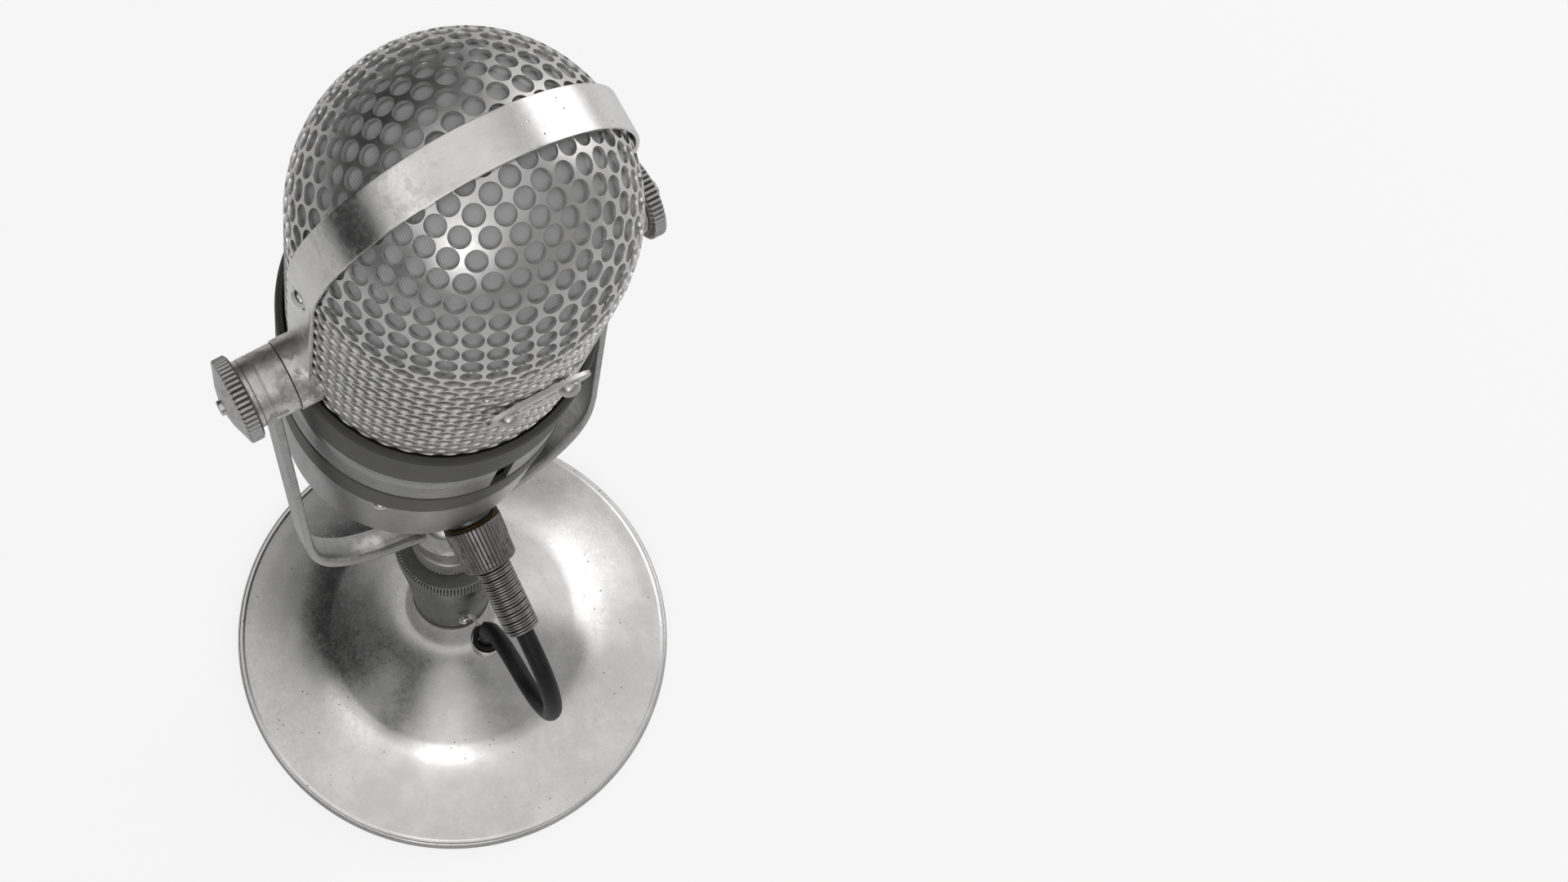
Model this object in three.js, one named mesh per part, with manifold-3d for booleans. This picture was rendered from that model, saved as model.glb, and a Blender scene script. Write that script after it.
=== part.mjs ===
// Desk ribbon microphone: a tilting head in a swivelling yoke on a weighted round base.
// Units are millimetres and +Z is up. The origin is the centre of the underside of the base,
// the head tilts about X, its front faces -Y and its cord leaves at the back, +Y.
import * as THREE from "three";
import { mergeVertices } from "three/addons/utils/BufferGeometryUtils.js";
import Module from "manifold-3d";

const wasm = await Module();
wasm.setup();

// Clearances
const seatGap = 0.3; // between pieces that rest on or lie round each other
const turnGap = 0.3; // between pieces that turn against each other

// Base
const baseRadius = 84;
const baseRimBottom = 0.8;
const baseRimTop = 5.6;
const baseWall = 2.2;
const neckRadius = 13.2;
const neckTop = 62;
const feltThickness = 0.8;
const bottomPlateThickness = 1.2;
const feltInnerRadius = 30;
const tubeRadius = 5.5;
const tubeBore = 3.6;
const tubeTop = neckTop + 48;

// Stand column
const seatRingHeight = 1.4;
const seatRingRadius = 14.1;
const cupHeight = 56;
const cupFootRadius = 13.7;
const cupTopRadius = 17.6;
const lockRingRadius = cupTopRadius + 1.1;
const lockRingHeight = 8;
const lockRingTeeth = 40;
const studRadius = 8;
const studSocketDepth = 7.4;
const studEngagement = 6.4;
const knurlRingRadius = studRadius + 5.1;
const knurlRingHeight = 9.6;

// Head, heights along its own axis from the tilt axis
const headTilt = -10.1 * Math.PI / 180;
const grilleRadius = 38.1;
const grilleWall = 0.9;
const domeHeight = 41.5;
const domeBaseZ = 66.8;
const collarRadius = grilleRadius + 2.5;
const collarTopZ = -6.6;
const collarBottomZ = collarTopZ - 25.5;
const grilleBottomZ = collarTopZ - 15.4;
const bandRadius = collarRadius - 0.3;
const bandBottomZ = collarBottomZ - 25.5;
const bandGap = 5.2;
const lowerCollarBottomZ = bandBottomZ - 20.5;
const shellBottomZ = lowerCollarBottomZ - 48.3;
const shellTopRadius = bandRadius;
const shellFootRadius = shellTopRadius - 0.5;
const shellWall = 1.3;
const shellFillet = 3;
const chassisWall = 2;
const chassisBottomZ = lowerCollarBottomZ - 9.9;
const strapWidth = 10.5;
const strapThickness = 1;
const strapScrewZ = domeBaseZ - 2.8;
const linerWall = 0.5;
const linerGap = 0.6;
const domeSteps = 8;

// Pivots and knobs
const pinRadius = 4;
const pinEndRadius = pinRadius / 2;
const pinProjection = 1.1;
const bossRadius = pinRadius + 5.2;
const bossOuterX = collarRadius + 2.1;
const barrelRadius = bossRadius - 0.4;
const barrelInnerX = bossOuterX + turnGap;
const barrelLength = 9;
const washerRadius = barrelRadius - 0.3;
const washerThickness = 1;
const knobRadius = pinRadius + 7.05;
const knobRimWidth = 3.7;
const knobCapHeight = 2.3;
const knobNoseRadius = pinEndRadius + 0.9;
const knobFlutes = 30;
const fluteDepth = 0.5;

// Yoke
const hubRadius = studRadius + 4;
const hubHeight = 26;
const hubSocketDepth = 12;
const armCentreX = barrelInnerX + barrelLength / 2 + 0.7;
const armThickness = 2.4;
const yokeWidth = 9;
const yokeRunRise = 14.3; // from the foot of the hub to the underside of the bar
const yokeRunThickness = 8;
const yokeArmRise = 50.5; // from the underside of the bar to where the arm runs straight
const headClearance = 34.4; // under the upright head

// Badge and back plate
const badgeHalfWidth = 9;
const badgeHalfHeight = 12.8;
const badgeCentreZ = collarBottomZ - 9.9;
const badgeRimWidth = 1.2;
const badgeProud = 1.4;
const plateHalfLength = 13.5;
const plateHalfHeight = 5.6;
const plateThickness = 1.2;
const plateCentreZ = domeBaseZ - 26.8;
const plateScrewX = 7.7;

// Connector and cord
const cordRadius = 3;
const springRadius = cordRadius + 2.65;
const springEnd = 44;
const receptacleRadius = springRadius + 1.75;
const receptacleBack = -4;
const receptacleLength = 12.5;
const nutStart = 6;
const nutLength = 14.5;
const nutRadius = springRadius + 2.95;
const nutFlangeRadius = nutRadius + 0.6;
const nutFlangeLength = 5;
const nutFlutes = 30;
const nutWallEnd = 2;
const connectorY = shellFootRadius - 6.3;
const connectorZ = shellBottomZ - 4.5;
const connectorDrop = 20 * Math.PI / 180;
const connectorFootY = connectorY - 8;
const connectorFootDrop = 9;
const clipRise = 16.9; // from the foot of the cup
const clipHeight = 6.6;
const clipBandRadius = cordRadius + 2.9;
const clipBandWall = 0.55;
const clipStandoff = 5.456; // from the cup to the clip's band

// Ribbon motor
const ribbonWidth = 4.8;
const ribbonThickness = 0.3;
const ribbonBottomZ = 2;
const ribbonTopZ = domeBaseZ - 4.8;
const ribbonFolds = 24;
const clampHeight = 5;
const polePieceGap = 6;
const polePieceWidth = 7;
const polePieceDepth = 6;
const magnetHeight = 20;
const deckThickness = 2.5;
const transformerHeight = 34;

const materials = {
  steel: new THREE.MeshStandardMaterial({ color: 0xb9b9b7, roughness: 0.38, metalness: 1 }),
  nickel: new THREE.MeshStandardMaterial({ color: 0xa9a8a5, roughness: 0.35, metalness: 1 }),
  darkSteel: new THREE.MeshStandardMaterial({ color: 0x565654, roughness: 0.5, metalness: 1 }),
  enamel: new THREE.MeshStandardMaterial({ color: 0x48463f, roughness: 0.75, metalness: 0 }),
  red: new THREE.MeshStandardMaterial({ color: 0xa8322f, roughness: 0.4, metalness: 0 }),
  rubber: new THREE.MeshStandardMaterial({ color: 0x1b1b1b, roughness: 0.55, metalness: 0 }),
  gauze: new THREE.MeshStandardMaterial({ color: 0x6b6b69, roughness: 0.9, metalness: 0 }),
  felt: new THREE.MeshStandardMaterial({ color: 0x2c2b29, roughness: 1, metalness: 0 }),
  iron: new THREE.MeshStandardMaterial({ color: 0x3a3938, roughness: 0.7, metalness: 0.6 }),
  brass: new THREE.MeshStandardMaterial({ color: 0xa8864a, roughness: 0.4, metalness: 1 }),
  foil: new THREE.MeshStandardMaterial({ color: 0xd2d3d4, roughness: 0.3, metalness: 1 }),
};

// Closed, welded copy of a geometry with its faces pointing out.
function weld(geometry) {
  const bare = geometry.clone();
  bare.deleteAttribute("normal");
  bare.deleteAttribute("uv");
  const merged = mergeVertices(bare, 1e-4);
  const position = merged.getAttribute("position");
  const corners = [0, 1, 2].map(() => new THREE.Vector3());
  const faces = [];
  let volume = 0;
  for (let i = 0; i < merged.index.count; i += 3) {
    const face = [0, 1, 2].map((k) => merged.index.getX(i + k));
    const flat = face[0] === face[1] || face[1] === face[2] || face[0] === face[2];
    if (!flat) {
      face.forEach((vertex, k) => corners[k].fromBufferAttribute(position, vertex));
      volume += corners[0].dot(corners[1].clone().cross(corners[2])) / 6;
      faces.push(face);
    }
  }
  merged.setIndex(faces.flatMap(([a, b, c]) => (volume < 0 ? [a, c, b] : [a, b, c])));
  merged.computeVertexNormals();
  return merged;
}

function toSolid(geometry) {
  const closed = weld(geometry);
  const vertProperties = new Float32Array(closed.getAttribute("position").array);
  const triVerts = new Uint32Array(closed.index.array);
  return new wasm.Manifold(new wasm.Mesh({ numProp: 3, vertProperties, triVerts }));
}

function toGeometry(solid) {
  const mesh = solid.getMesh();
  const geometry = new THREE.BufferGeometry();
  geometry.setAttribute("position", new THREE.BufferAttribute(new Float32Array(mesh.vertProperties), 3));
  geometry.setIndex(new THREE.BufferAttribute(new Uint32Array(mesh.triVerts), 1));
  geometry.computeVertexNormals();
  return geometry;
}

function cut(geometry, ...tools) {
  return toGeometry(tools.reduce((solid, tool) => solid.subtract(toSolid(tool)), toSolid(geometry)));
}

function join(geometry, ...others) {
  return toGeometry(others.reduce((solid, other) => solid.add(toSolid(other)), toSolid(geometry)));
}

function common(geometry, other) {
  return toGeometry(toSolid(geometry).intersect(toSolid(other)));
}

// Revolve of [radius, height] points about Z.
function turned(points, segments = 32) {
  const profile = points.map(([radius, height]) => new THREE.Vector2(radius, height));
  return weld(new THREE.LatheGeometry(profile, segments).rotateX(Math.PI / 2));
}

// Ring or tube between two radii and two heights.
function ring(inner, outer, bottom, top, segments = 32) {
  return turned([[inner, bottom], [outer, bottom], [outer, top], [inner, top], [inner, bottom]], segments);
}

function disc(radius, bottom, top, segments = 32) {
  return turned([[0, bottom], [radius, bottom], [radius, top], [0, top]], segments);
}

function block(x, y, z) {
  return new THREE.BoxGeometry(x[1] - x[0], y[1] - y[0], z[1] - z[0])
    .translate((x[0] + x[1]) / 2, (y[0] + y[1]) / 2, (z[0] + z[1]) / 2);
}

// Disc with a fluted edge, between two heights, with a bore.
function fluted(radius, teeth, bottom, top, bore) {
  const shape = new THREE.Shape();
  for (let i = 0; i < teeth * 2; i += 1) {
    const angle = (i + 0.5) * Math.PI / teeth;
    const reach = i % 2 ? radius - fluteDepth : radius;
    const point = [reach * Math.cos(angle), reach * Math.sin(angle)];
    if (i === 0) {
      shape.moveTo(...point);
    } else {
      shape.lineTo(...point);
    }
  }
  shape.closePath();
  const blank = new THREE.ExtrudeGeometry(shape, { depth: top - bottom, bevelEnabled: false, steps: 1 });
  return cut(blank.translate(0, 0, bottom), disc(bore, bottom - 1, top + 1, 24));
}

// Turns a piece made along Z so that it runs along X, towards +X (side 1) or -X (side -1).
function alongX(geometry, side) {
  return geometry.clone().rotateY(side * Math.PI / 2);
}

// Round-headed screw along Z with its seat at height 0.
function screwGeometry(headRadius, headHeight, shankRadius, shankLength) {
  const head = [[0, -shankLength], [shankRadius, -shankLength], [shankRadius, 0], [headRadius, 0]];
  const steps = 3;
  for (let i = 1; i < steps; i += 1) {
    const angle = (i / steps) * Math.PI / 2;
    head.push([headRadius * Math.cos(angle), headHeight * Math.sin(angle)]);
  }
  return turned([...head, [0, headHeight]], 12);
}

function named(name, geometry, material) {
  const mesh = new THREE.Mesh(geometry, material);
  mesh.name = name;
  return mesh;
}

// Top surface of the base, rim to neck, as a smooth curve.
function baseTopCurve() {
  const shares = [
    [0.9714, 0.0106], [0.8929, 0.0319], [0.7857, 0.0674], [0.6905, 0.1064], [0.619, 0.1472],
    [0.5714, 0.1879], [0.5357, 0.227], [0.4286, 0.3546], [0.3214, 0.4911], [0.2381, 0.6241],
    [0.1857, 0.8227],
  ];
  const points = shares.map(([across, up]) => underBase(across, up));
  return new THREE.SplineCurve([...points, new THREE.Vector2(neckRadius, neckTop)]);
}

// Place in the base from a share of its radius and a share of its rise from rim to neck.
function underBase(across, up) {
  return new THREE.Vector2(across * baseRadius, baseRimTop + up * (neckTop - baseRimTop));
}

function makeBase() {
  const top = baseTopCurve().getPoints(22).map((point) => [point.x, point.y]);
  const sampled = top.filter((point, i) => i % 2 === 1);
  const under = sampled.map(([radius, height]) => [radius - 1.6, height - baseWall]).reverse();
  const innerRim = baseRadius - 2.6;
  const profile = [
    [innerRim, baseRimBottom], [baseRadius - 0.7, baseRimBottom], [baseRadius, baseRimBottom + 0.7],
    [baseRadius, baseRimTop - 1], [baseRadius - 0.8, baseRimTop], ...top,
    [tubeRadius + seatGap, neckTop], [tubeRadius + seatGap, neckTop - 6], [neckRadius - 2, neckTop - 6],
    ...under, [innerRim, 3.4], [innerRim, baseRimBottom],
  ];
  return named("base", turned(profile, 48), materials.steel);
}

function makeBallast() {
  const bottom = baseRimBottom + bottomPlateThickness + seatGap - 0.1;
  const shares = [[0.7857, 0.0071], [0.5476, 0.1135], [0.4048, 0.1915], [0.2857, 0.3085]];
  const top = shares.map(([across, up]) => underBase(across, up).toArray());
  const outer = top[0][0];
  const inner = top[top.length - 1][0];
  const profile = [[inner, bottom], [outer, bottom], ...top, [inner, bottom]];
  return named("base_weight", turned(profile, 24), materials.iron);
}

function makeBaseParts() {
  const plateTop = baseRimBottom + bottomPlateThickness;
  const plateRadius = baseRadius - 2.6 - seatGap;
  const bore = tubeRadius + seatGap;
  const nut = cut(disc(10, plateTop, plateTop + 6, 6), disc(bore, plateTop - 1, plateTop + 7));
  const plate = ring(bore, plateRadius, feltThickness, plateTop);
  const neckRing = ring(bore, seatRingRadius, neckTop, neckTop + seatRingHeight);
  return [
    makeBase(),
    makeBallast(),
    named("base_felt", ring(feltInnerRadius, plateRadius - 3, 0, feltThickness), materials.felt),
    named("base_bottom_plate", plate, materials.darkSteel),
    named("stand_tube", ring(tubeBore, tubeRadius, plateTop, tubeTop, 32), materials.darkSteel),
    named("tube_nut", nut, materials.brass),
    named("neck_ring", neckRing, materials.darkSteel),
  ];
}

const cupBottomZ = neckTop + seatRingHeight + turnGap;
const cupTopZ = cupBottomZ + cupHeight;
const lockRingBottomZ = cupTopZ + turnGap;
const lockRingTopZ = lockRingBottomZ + lockRingHeight;
const knurlBottomZ = lockRingTopZ + turnGap;
const knurlTopZ = knurlBottomZ + knurlRingHeight;
const hubBottomZ = knurlTopZ + seatGap;
const hubTopZ = hubBottomZ + hubHeight;
const yokeRunZ = hubBottomZ + yokeRunRise;
const yokeSpringZ = yokeRunZ + yokeArmRise;
const pivotZ = hubTopZ + headClearance - shellBottomZ;

function makeCup() {
  const socketZ = cupTopZ - studSocketDepth;
  const bore = tubeRadius + turnGap;
  const socket = studRadius + seatGap;
  const profile = [
    [bore, cupBottomZ], [cupFootRadius, cupBottomZ], [cupFootRadius + 0.3, cupBottomZ + 2],
    [cupTopRadius - 1.6, cupTopZ - 22], [cupTopRadius, cupTopZ - 7], [cupTopRadius, cupTopZ],
    [socket, cupTopZ], [socket, socketZ], [bore, socketZ], [bore, cupBottomZ],
  ];
  return named("cup", turned(profile, 32), materials.darkSteel);
}

// Radius of the outside of the cup at a height, for what is fastened to it.
function cupRadiusAt(z) {
  const share = (z - cupBottomZ - 2) / (cupHeight - 24);
  return cupFootRadius + 0.3 + share * (cupTopRadius - 1.6 - cupFootRadius - 0.3);
}

function makeColumn() {
  const studBottomZ = cupTopZ - studSocketDepth + seatGap;
  const bore = studRadius + seatGap;
  return [
    makeCup(),
    named("threaded_stud", disc(studRadius, studBottomZ, hubBottomZ + studEngagement, 32), materials.steel),
    named("knurled_ring", ring(bore, knurlRingRadius, knurlBottomZ, knurlTopZ), materials.darkSteel),
  ];
}

function makeLockRing() {
  const body = fluted(lockRingRadius, lockRingTeeth, lockRingBottomZ + 2, lockRingTopZ, studRadius + turnGap);
  const skirt = ring(studRadius + turnGap, lockRingRadius - 1, lockRingBottomZ, lockRingBottomZ + 2.2);
  return named("lock_ring", join(body, skirt), materials.darkSteel);
}

// Point of the yoke from a share of the arm's distance out and a height over the underside of the bar.
function yokePoint([across, rise]) {
  return new THREE.Vector2(across * armCentreX, yokeRunZ + rise);
}

// Closed outline of the bar of the yoke on one side, from the arm's top to the hub.
function yokeOutline() {
  const outerX = armCentreX + armThickness / 2;
  const innerX = armCentreX - armThickness / 2;
  const under = [[1, 37.5], [0.921, 25.5], [0.768, 15], [0.56, 7.5], [0.29, 1.7], [0, 0]];
  const over = [[0.29, 9], [0.519, 14], [0.705, 21.5], [0.842, 30.5], [0.938, 41.5]];
  const shape = new THREE.Shape();
  shape.moveTo(outerX, pivotZ);
  shape.lineTo(outerX, yokeSpringZ);
  shape.splineThru(under.map(yokePoint));
  shape.lineTo(0, yokeRunZ + yokeRunThickness);
  shape.splineThru([...over.map(yokePoint), new THREE.Vector2(innerX, yokeSpringZ + 6)]);
  shape.lineTo(innerX, pivotZ);
  shape.closePath();
  return shape;
}

function makeYoke() {
  const side = new THREE.ExtrudeGeometry(yokeOutline(), {
    depth: yokeWidth, bevelEnabled: false, steps: 1, curveSegments: 3,
  });
  const right = side.rotateX(Math.PI / 2).translate(0, yokeWidth / 2, 0);
  const left = right.clone().rotateZ(Math.PI);
  const socketTop = hubBottomZ + hubSocketDepth;
  const bore = studRadius + seatGap;
  const hub = turned([
    [bore, hubBottomZ], [hubRadius, hubBottomZ], [hubRadius, hubBottomZ + 5],
    [hubRadius + 1, hubBottomZ + 9], [hubRadius + 1.4, hubBottomZ + 14], [hubRadius, hubBottomZ + 20],
    [hubRadius - 4, hubTopZ - 1.6], [0, hubTopZ], [0, socketTop], [bore, socketTop], [bore, hubBottomZ],
  ], 32);
  const socket = disc(bore, hubBottomZ - 1, socketTop, 32);
  const barrelRoom = disc(barrelRadius + seatGap, -armCentreX - 12, armCentreX + 12, 48)
    .rotateY(Math.PI / 2).translate(0, 0, pivotZ);
  return named("yoke", cut(join(right, left, hub), socket, barrelRoom), materials.nickel);
}

function makeBarrels() {
  const parts = [];
  for (const [name, side] of [["right", 1], ["left", -1]]) {
    const barrelEnd = barrelInnerX + barrelLength;
    const barrel = ring(pinRadius + turnGap, barrelRadius, barrelInnerX, barrelEnd);
    const washerStart = barrelEnd + seatGap;
    const washer = ring(pinRadius + turnGap, washerRadius, washerStart, washerStart + washerThickness);
    for (const [piece, geometry] of [["barrel", barrel], ["washer", washer]]) {
      const placed = alongX(geometry, side).translate(0, 0, pivotZ);
      parts.push(named(`${piece}_${name}`, placed, materials.nickel));
    }
  }
  return parts;
}

const clipBottomZ = cupBottomZ + clipRise;
const clipTopZ = clipBottomZ + clipHeight;
const clipY = cupRadiusAt(clipTopZ) + clipBandRadius + clipStandoff;

// Loop clip that holds the cord on the back of the cup.
function makeClip() {
  const bandInner = clipBandRadius - clipBandWall;
  const middleZ = (clipBottomZ + clipTopZ) / 2;
  const footY = cupRadiusAt(clipTopZ) + seatGap;
  const band = ring(bandInner, clipBandRadius, clipBottomZ, clipTopZ, 32).translate(0, clipY, 0);
  const tab = block([-0.6, 0.6], [footY + 0.3, clipY - bandInner - 0.1], [clipBottomZ, clipTopZ]);
  const foot = block([-0.6, 5.6], [footY, footY + 1], [clipBottomZ, clipTopZ]);
  const liner = ring(cordRadius + seatGap, bandInner - seatGap, clipBottomZ - 0.4, clipTopZ + 0.5, 32);
  const screw = screwGeometry(1.7, 1.2, 0.9, 0.6).rotateX(-Math.PI / 2)
    .translate(3.4, footY + 1 + seatGap, middleZ);
  const screwHole = disc(1.2, -3, 3, 16).rotateX(Math.PI / 2).translate(3.4, footY + 0.5, middleZ);
  return [
    named("cord_clip", cut(join(band, tab, foot), screwHole), materials.steel),
    named("cord_clip_liner", liner.translate(0, clipY, 0), materials.rubber),
    named("cord_clip_screw", screw, materials.steel),
  ];
}

// Height of the outside of a dome of the grille's shape, offset outwards.
function domeProfile(offset, steps) {
  const points = [];
  for (let i = 0; i <= steps; i += 1) {
    const angle = (i / steps) * Math.PI / 2;
    points.push([
      (grilleRadius + offset) * Math.cos(angle),
      domeBaseZ + (domeHeight + offset) * Math.sin(angle),
    ]);
  }
  points[steps][0] = 0;
  return points;
}

function domeShell(outerOffset, wall, bottom, segments) {
  const outer = domeProfile(outerOffset, domeSteps);
  const inner = domeProfile(outerOffset - wall, domeSteps).reverse();
  const start = [grilleRadius + outerOffset - wall, bottom];
  return turned([start, [grilleRadius + outerOffset, bottom], ...outer, ...inner, start], segments);
}

function makeGrille() {
  const lining = -grilleWall - linerGap;
  return [
    named("grille", domeShell(0, grilleWall, grilleBottomZ, 40), materials.steel),
    named("grille_lining", domeShell(lining, linerWall, grilleBottomZ + 2, 24), materials.gauze),
  ];
}

function makeStrap() {
  const inner = seatGap;
  const outer = seatGap + strapThickness;
  const legBottom = collarTopZ + seatGap;
  const shape = new THREE.Shape();
  shape.moveTo(grilleRadius + outer, legBottom);
  domeProfile(outer, 12).forEach(([x, z]) => shape.lineTo(x, z));
  domeProfile(outer, 12).reverse().slice(1).forEach(([x, z]) => shape.lineTo(-x, z));
  shape.lineTo(-grilleRadius - outer, legBottom);
  shape.lineTo(-grilleRadius - inner, legBottom);
  domeProfile(inner, 12).forEach(([x, z]) => shape.lineTo(-x, z));
  domeProfile(inner, 12).reverse().slice(1).forEach(([x, z]) => shape.lineTo(x, z));
  shape.lineTo(grilleRadius + inner, legBottom);
  shape.closePath();
  const bar = new THREE.ExtrudeGeometry(shape, { depth: strapWidth, bevelEnabled: false, steps: 1 });
  const placed = bar.rotateX(Math.PI / 2).translate(0, strapWidth / 2, 0);
  return named("strap", weld(placed), materials.nickel);
}

function makePivots() {
  const strapFace = grilleRadius + seatGap + strapThickness;
  const knobStart = barrelInnerX + barrelLength + seatGap + washerThickness + turnGap;
  const knobEnd = knobStart + knobRimWidth + knobCapHeight;
  const parts = [];
  for (const [name, side] of [["right", 1], ["left", -1]]) {
    const half = strapWidth / 2 + seatGap;
    const legHeight = [-bossRadius - 1, bossRadius + 1];
    const legRoom = block([grilleRadius - 8, strapFace + seatGap], [-half, half], legHeight);
    const grilleRoom = disc(grilleRadius + seatGap, -20, 20, 48);
    const collarRoom = disc(collarRadius + seatGap, -20, collarTopZ + seatGap, 48);
    const pinRoom = disc(pinRadius + seatGap, 0, bossOuterX + 12, 24).rotateY(Math.PI / 2);
    const blank = disc(bossRadius, grilleRadius - 4, bossOuterX, 48).rotateY(Math.PI / 2);
    const boss = cut(blank, legRoom, grilleRoom, collarRoom, pinRoom);
    const pin = turned([
      [0, strapFace + seatGap], [pinRadius, strapFace + seatGap], [pinRadius, knobStart - turnGap],
      [pinEndRadius, knobStart - turnGap], [pinEndRadius, knobEnd + pinProjection],
      [0, knobEnd + pinProjection],
    ], 24);
    const turn = side === 1 ? 0 : Math.PI;
    parts.push(named(`boss_${name}`, boss.rotateZ(turn), materials.nickel));
    parts.push(named(`pivot_pin_${name}`, alongX(pin, side), materials.steel));
    const seat = screwGeometry(2.2, 1.5, 1.2, 0.2).rotateY(Math.PI / 2);
    const screw = seat.translate(strapFace + seatGap + 0.2, 0, strapScrewZ).rotateZ(turn);
    parts.push(named(`strap_screw_${name}`, screw, materials.steel));
  }
  return parts;
}

function makeKnobs() {
  const start = barrelInnerX + barrelLength + seatGap + washerThickness + turnGap;
  const rimEnd = start + knobRimWidth;
  const bore = pinEndRadius + turnGap;
  const cap = turned([
    [bore, rimEnd - 0.5], [knobRadius - 0.9, rimEnd - 0.5], [knobRadius - 0.9, rimEnd],
    [knobNoseRadius, rimEnd + knobCapHeight], [bore, rimEnd + knobCapHeight], [bore, rimEnd - 0.5],
  ], 36);
  const knob = join(fluted(knobRadius, knobFlutes, start, rimEnd, bore), cap);
  return [1, -1].map((side) => alongX(knob, side));
}

function makeBody() {
  const inner = grilleRadius + seatGap;
  const collar = turned([
    [inner, collarBottomZ], [collarRadius, collarBottomZ], [collarRadius, collarTopZ - 0.6],
    [collarRadius - 0.6, collarTopZ], [inner, collarTopZ], [inner, collarBottomZ],
  ], 48);
  const band = ring(inner, bandRadius, bandBottomZ, collarBottomZ, 48);
  const bandMiddleZ = (bandBottomZ + collarBottomZ) / 2;
  const gapTool = block([-bandGap / 2, bandGap / 2], [grilleRadius - 8, bandRadius + 8], [-16, 16])
    .translate(0, 0, bandMiddleZ);
  const lower = ring(inner, collarRadius, lowerCollarBottomZ, bandBottomZ, 48);
  const chassis = ring(grilleRadius - chassisWall, grilleRadius, chassisBottomZ, grilleBottomZ - seatGap);
  return [
    named("collar_upper", collar, materials.enamel),
    named("name_band", cut(band, gapTool), materials.nickel),
    named("collar_lower", lower, materials.enamel),
    named("chassis_tube", chassis, materials.darkSteel),
  ];
}

function makeShell() {
  const top = lowerCollarBottomZ;
  const profile = [[0, shellBottomZ]];
  const steps = 4;
  for (let i = 0; i <= steps; i += 1) {
    const angle = (i / steps) * Math.PI / 2;
    profile.push([
      shellFootRadius - shellFillet + shellFillet * Math.sin(angle),
      shellBottomZ + shellFillet - shellFillet * Math.cos(angle),
    ]);
  }
  profile.push([shellTopRadius, top]);
  profile.push([shellTopRadius - shellWall, top]);
  profile.push([shellFootRadius - shellWall, shellBottomZ + shellFillet]);
  profile.push([shellFootRadius - shellFillet, shellBottomZ + shellWall]);
  profile.push([0, shellBottomZ + shellWall]);
  return named("shell", turned(profile, 48), materials.steel);
}

function makeShellScrews() {
  const screws = [];
  for (let i = 0; i < 4; i += 1) {
    const seat = screwGeometry(1.9, 1.3, 1, 0.1).rotateX(-Math.PI / 2);
    const placed = seat.translate(0, shellTopRadius + seatGap + 0.1, lowerCollarBottomZ - 2.2);
    placed.rotateZ(-Math.PI / 4 - i * Math.PI / 2);
    screws.push(named(`shell_screw_${i + 1}`, placed, materials.steel));
  }
  return screws;
}

// Upright oval prism along Y, from the middle of the head outwards to the front.
function ovalPrism(halfWidth, halfHeight) {
  const shape = new THREE.Shape();
  shape.absellipse(0, 0, halfWidth, halfHeight, 0, Math.PI * 2, false, 0);
  const prism = new THREE.ExtrudeGeometry(shape, { depth: 20, bevelEnabled: false, curveSegments: 16 });
  return prism.rotateX(Math.PI / 2).translate(0, -30, badgeCentreZ);
}

function makeBadge() {
  const room = disc(collarRadius + seatGap, -80, 0, 64);
  const rimOuter = disc(collarRadius + seatGap + badgeProud, -80, 0, 64);
  const faceOuter = disc(collarRadius + seatGap + badgeProud - 0.4, -80, 0, 64);
  const innerWidth = badgeHalfWidth - badgeRimWidth;
  const innerHeight = badgeHalfHeight - badgeRimWidth;
  const rimBlank = common(ovalPrism(badgeHalfWidth, badgeHalfHeight), rimOuter);
  const faceBlank = common(ovalPrism(innerWidth - seatGap, innerHeight - seatGap), faceOuter);
  return [
    named("badge_rim", cut(rimBlank, room, ovalPrism(innerWidth, innerHeight)), materials.nickel),
    named("badge_face", cut(faceBlank, room), materials.red),
  ];
}

function makeBackPlate() {
  const backY = grilleRadius + seatGap;
  const faceY = backY + plateThickness;
  const shape = new THREE.Shape();
  shape.moveTo(-plateHalfLength, 0);
  shape.quadraticCurveTo(-plateHalfLength, plateHalfHeight * 0.5, 0, plateHalfHeight);
  shape.quadraticCurveTo(plateHalfLength, plateHalfHeight * 0.5, plateHalfLength, 0);
  shape.quadraticCurveTo(plateHalfLength, -plateHalfHeight * 0.5, 0, -plateHalfHeight);
  shape.quadraticCurveTo(-plateHalfLength, -plateHalfHeight * 0.5, -plateHalfLength, 0);
  const blank = new THREE.ExtrudeGeometry(shape, {
    depth: plateThickness, bevelEnabled: false, curveSegments: 6,
  });
  const plate = blank.rotateX(Math.PI / 2).translate(0, faceY, plateCentreZ);
  const parts = [named("back_plate", plate, materials.nickel)];
  for (const [name, x] of [["right", plateScrewX], ["left", -plateScrewX]]) {
    const screw = screwGeometry(2.1, 1.6, 1, 0.1).rotateX(-Math.PI / 2);
    const placed = screw.translate(x, faceY + seatGap + 0.1, plateCentreZ);
    parts.push(named(`plate_screw_${name}`, placed, materials.steel));
  }
  return parts;
}

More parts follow.
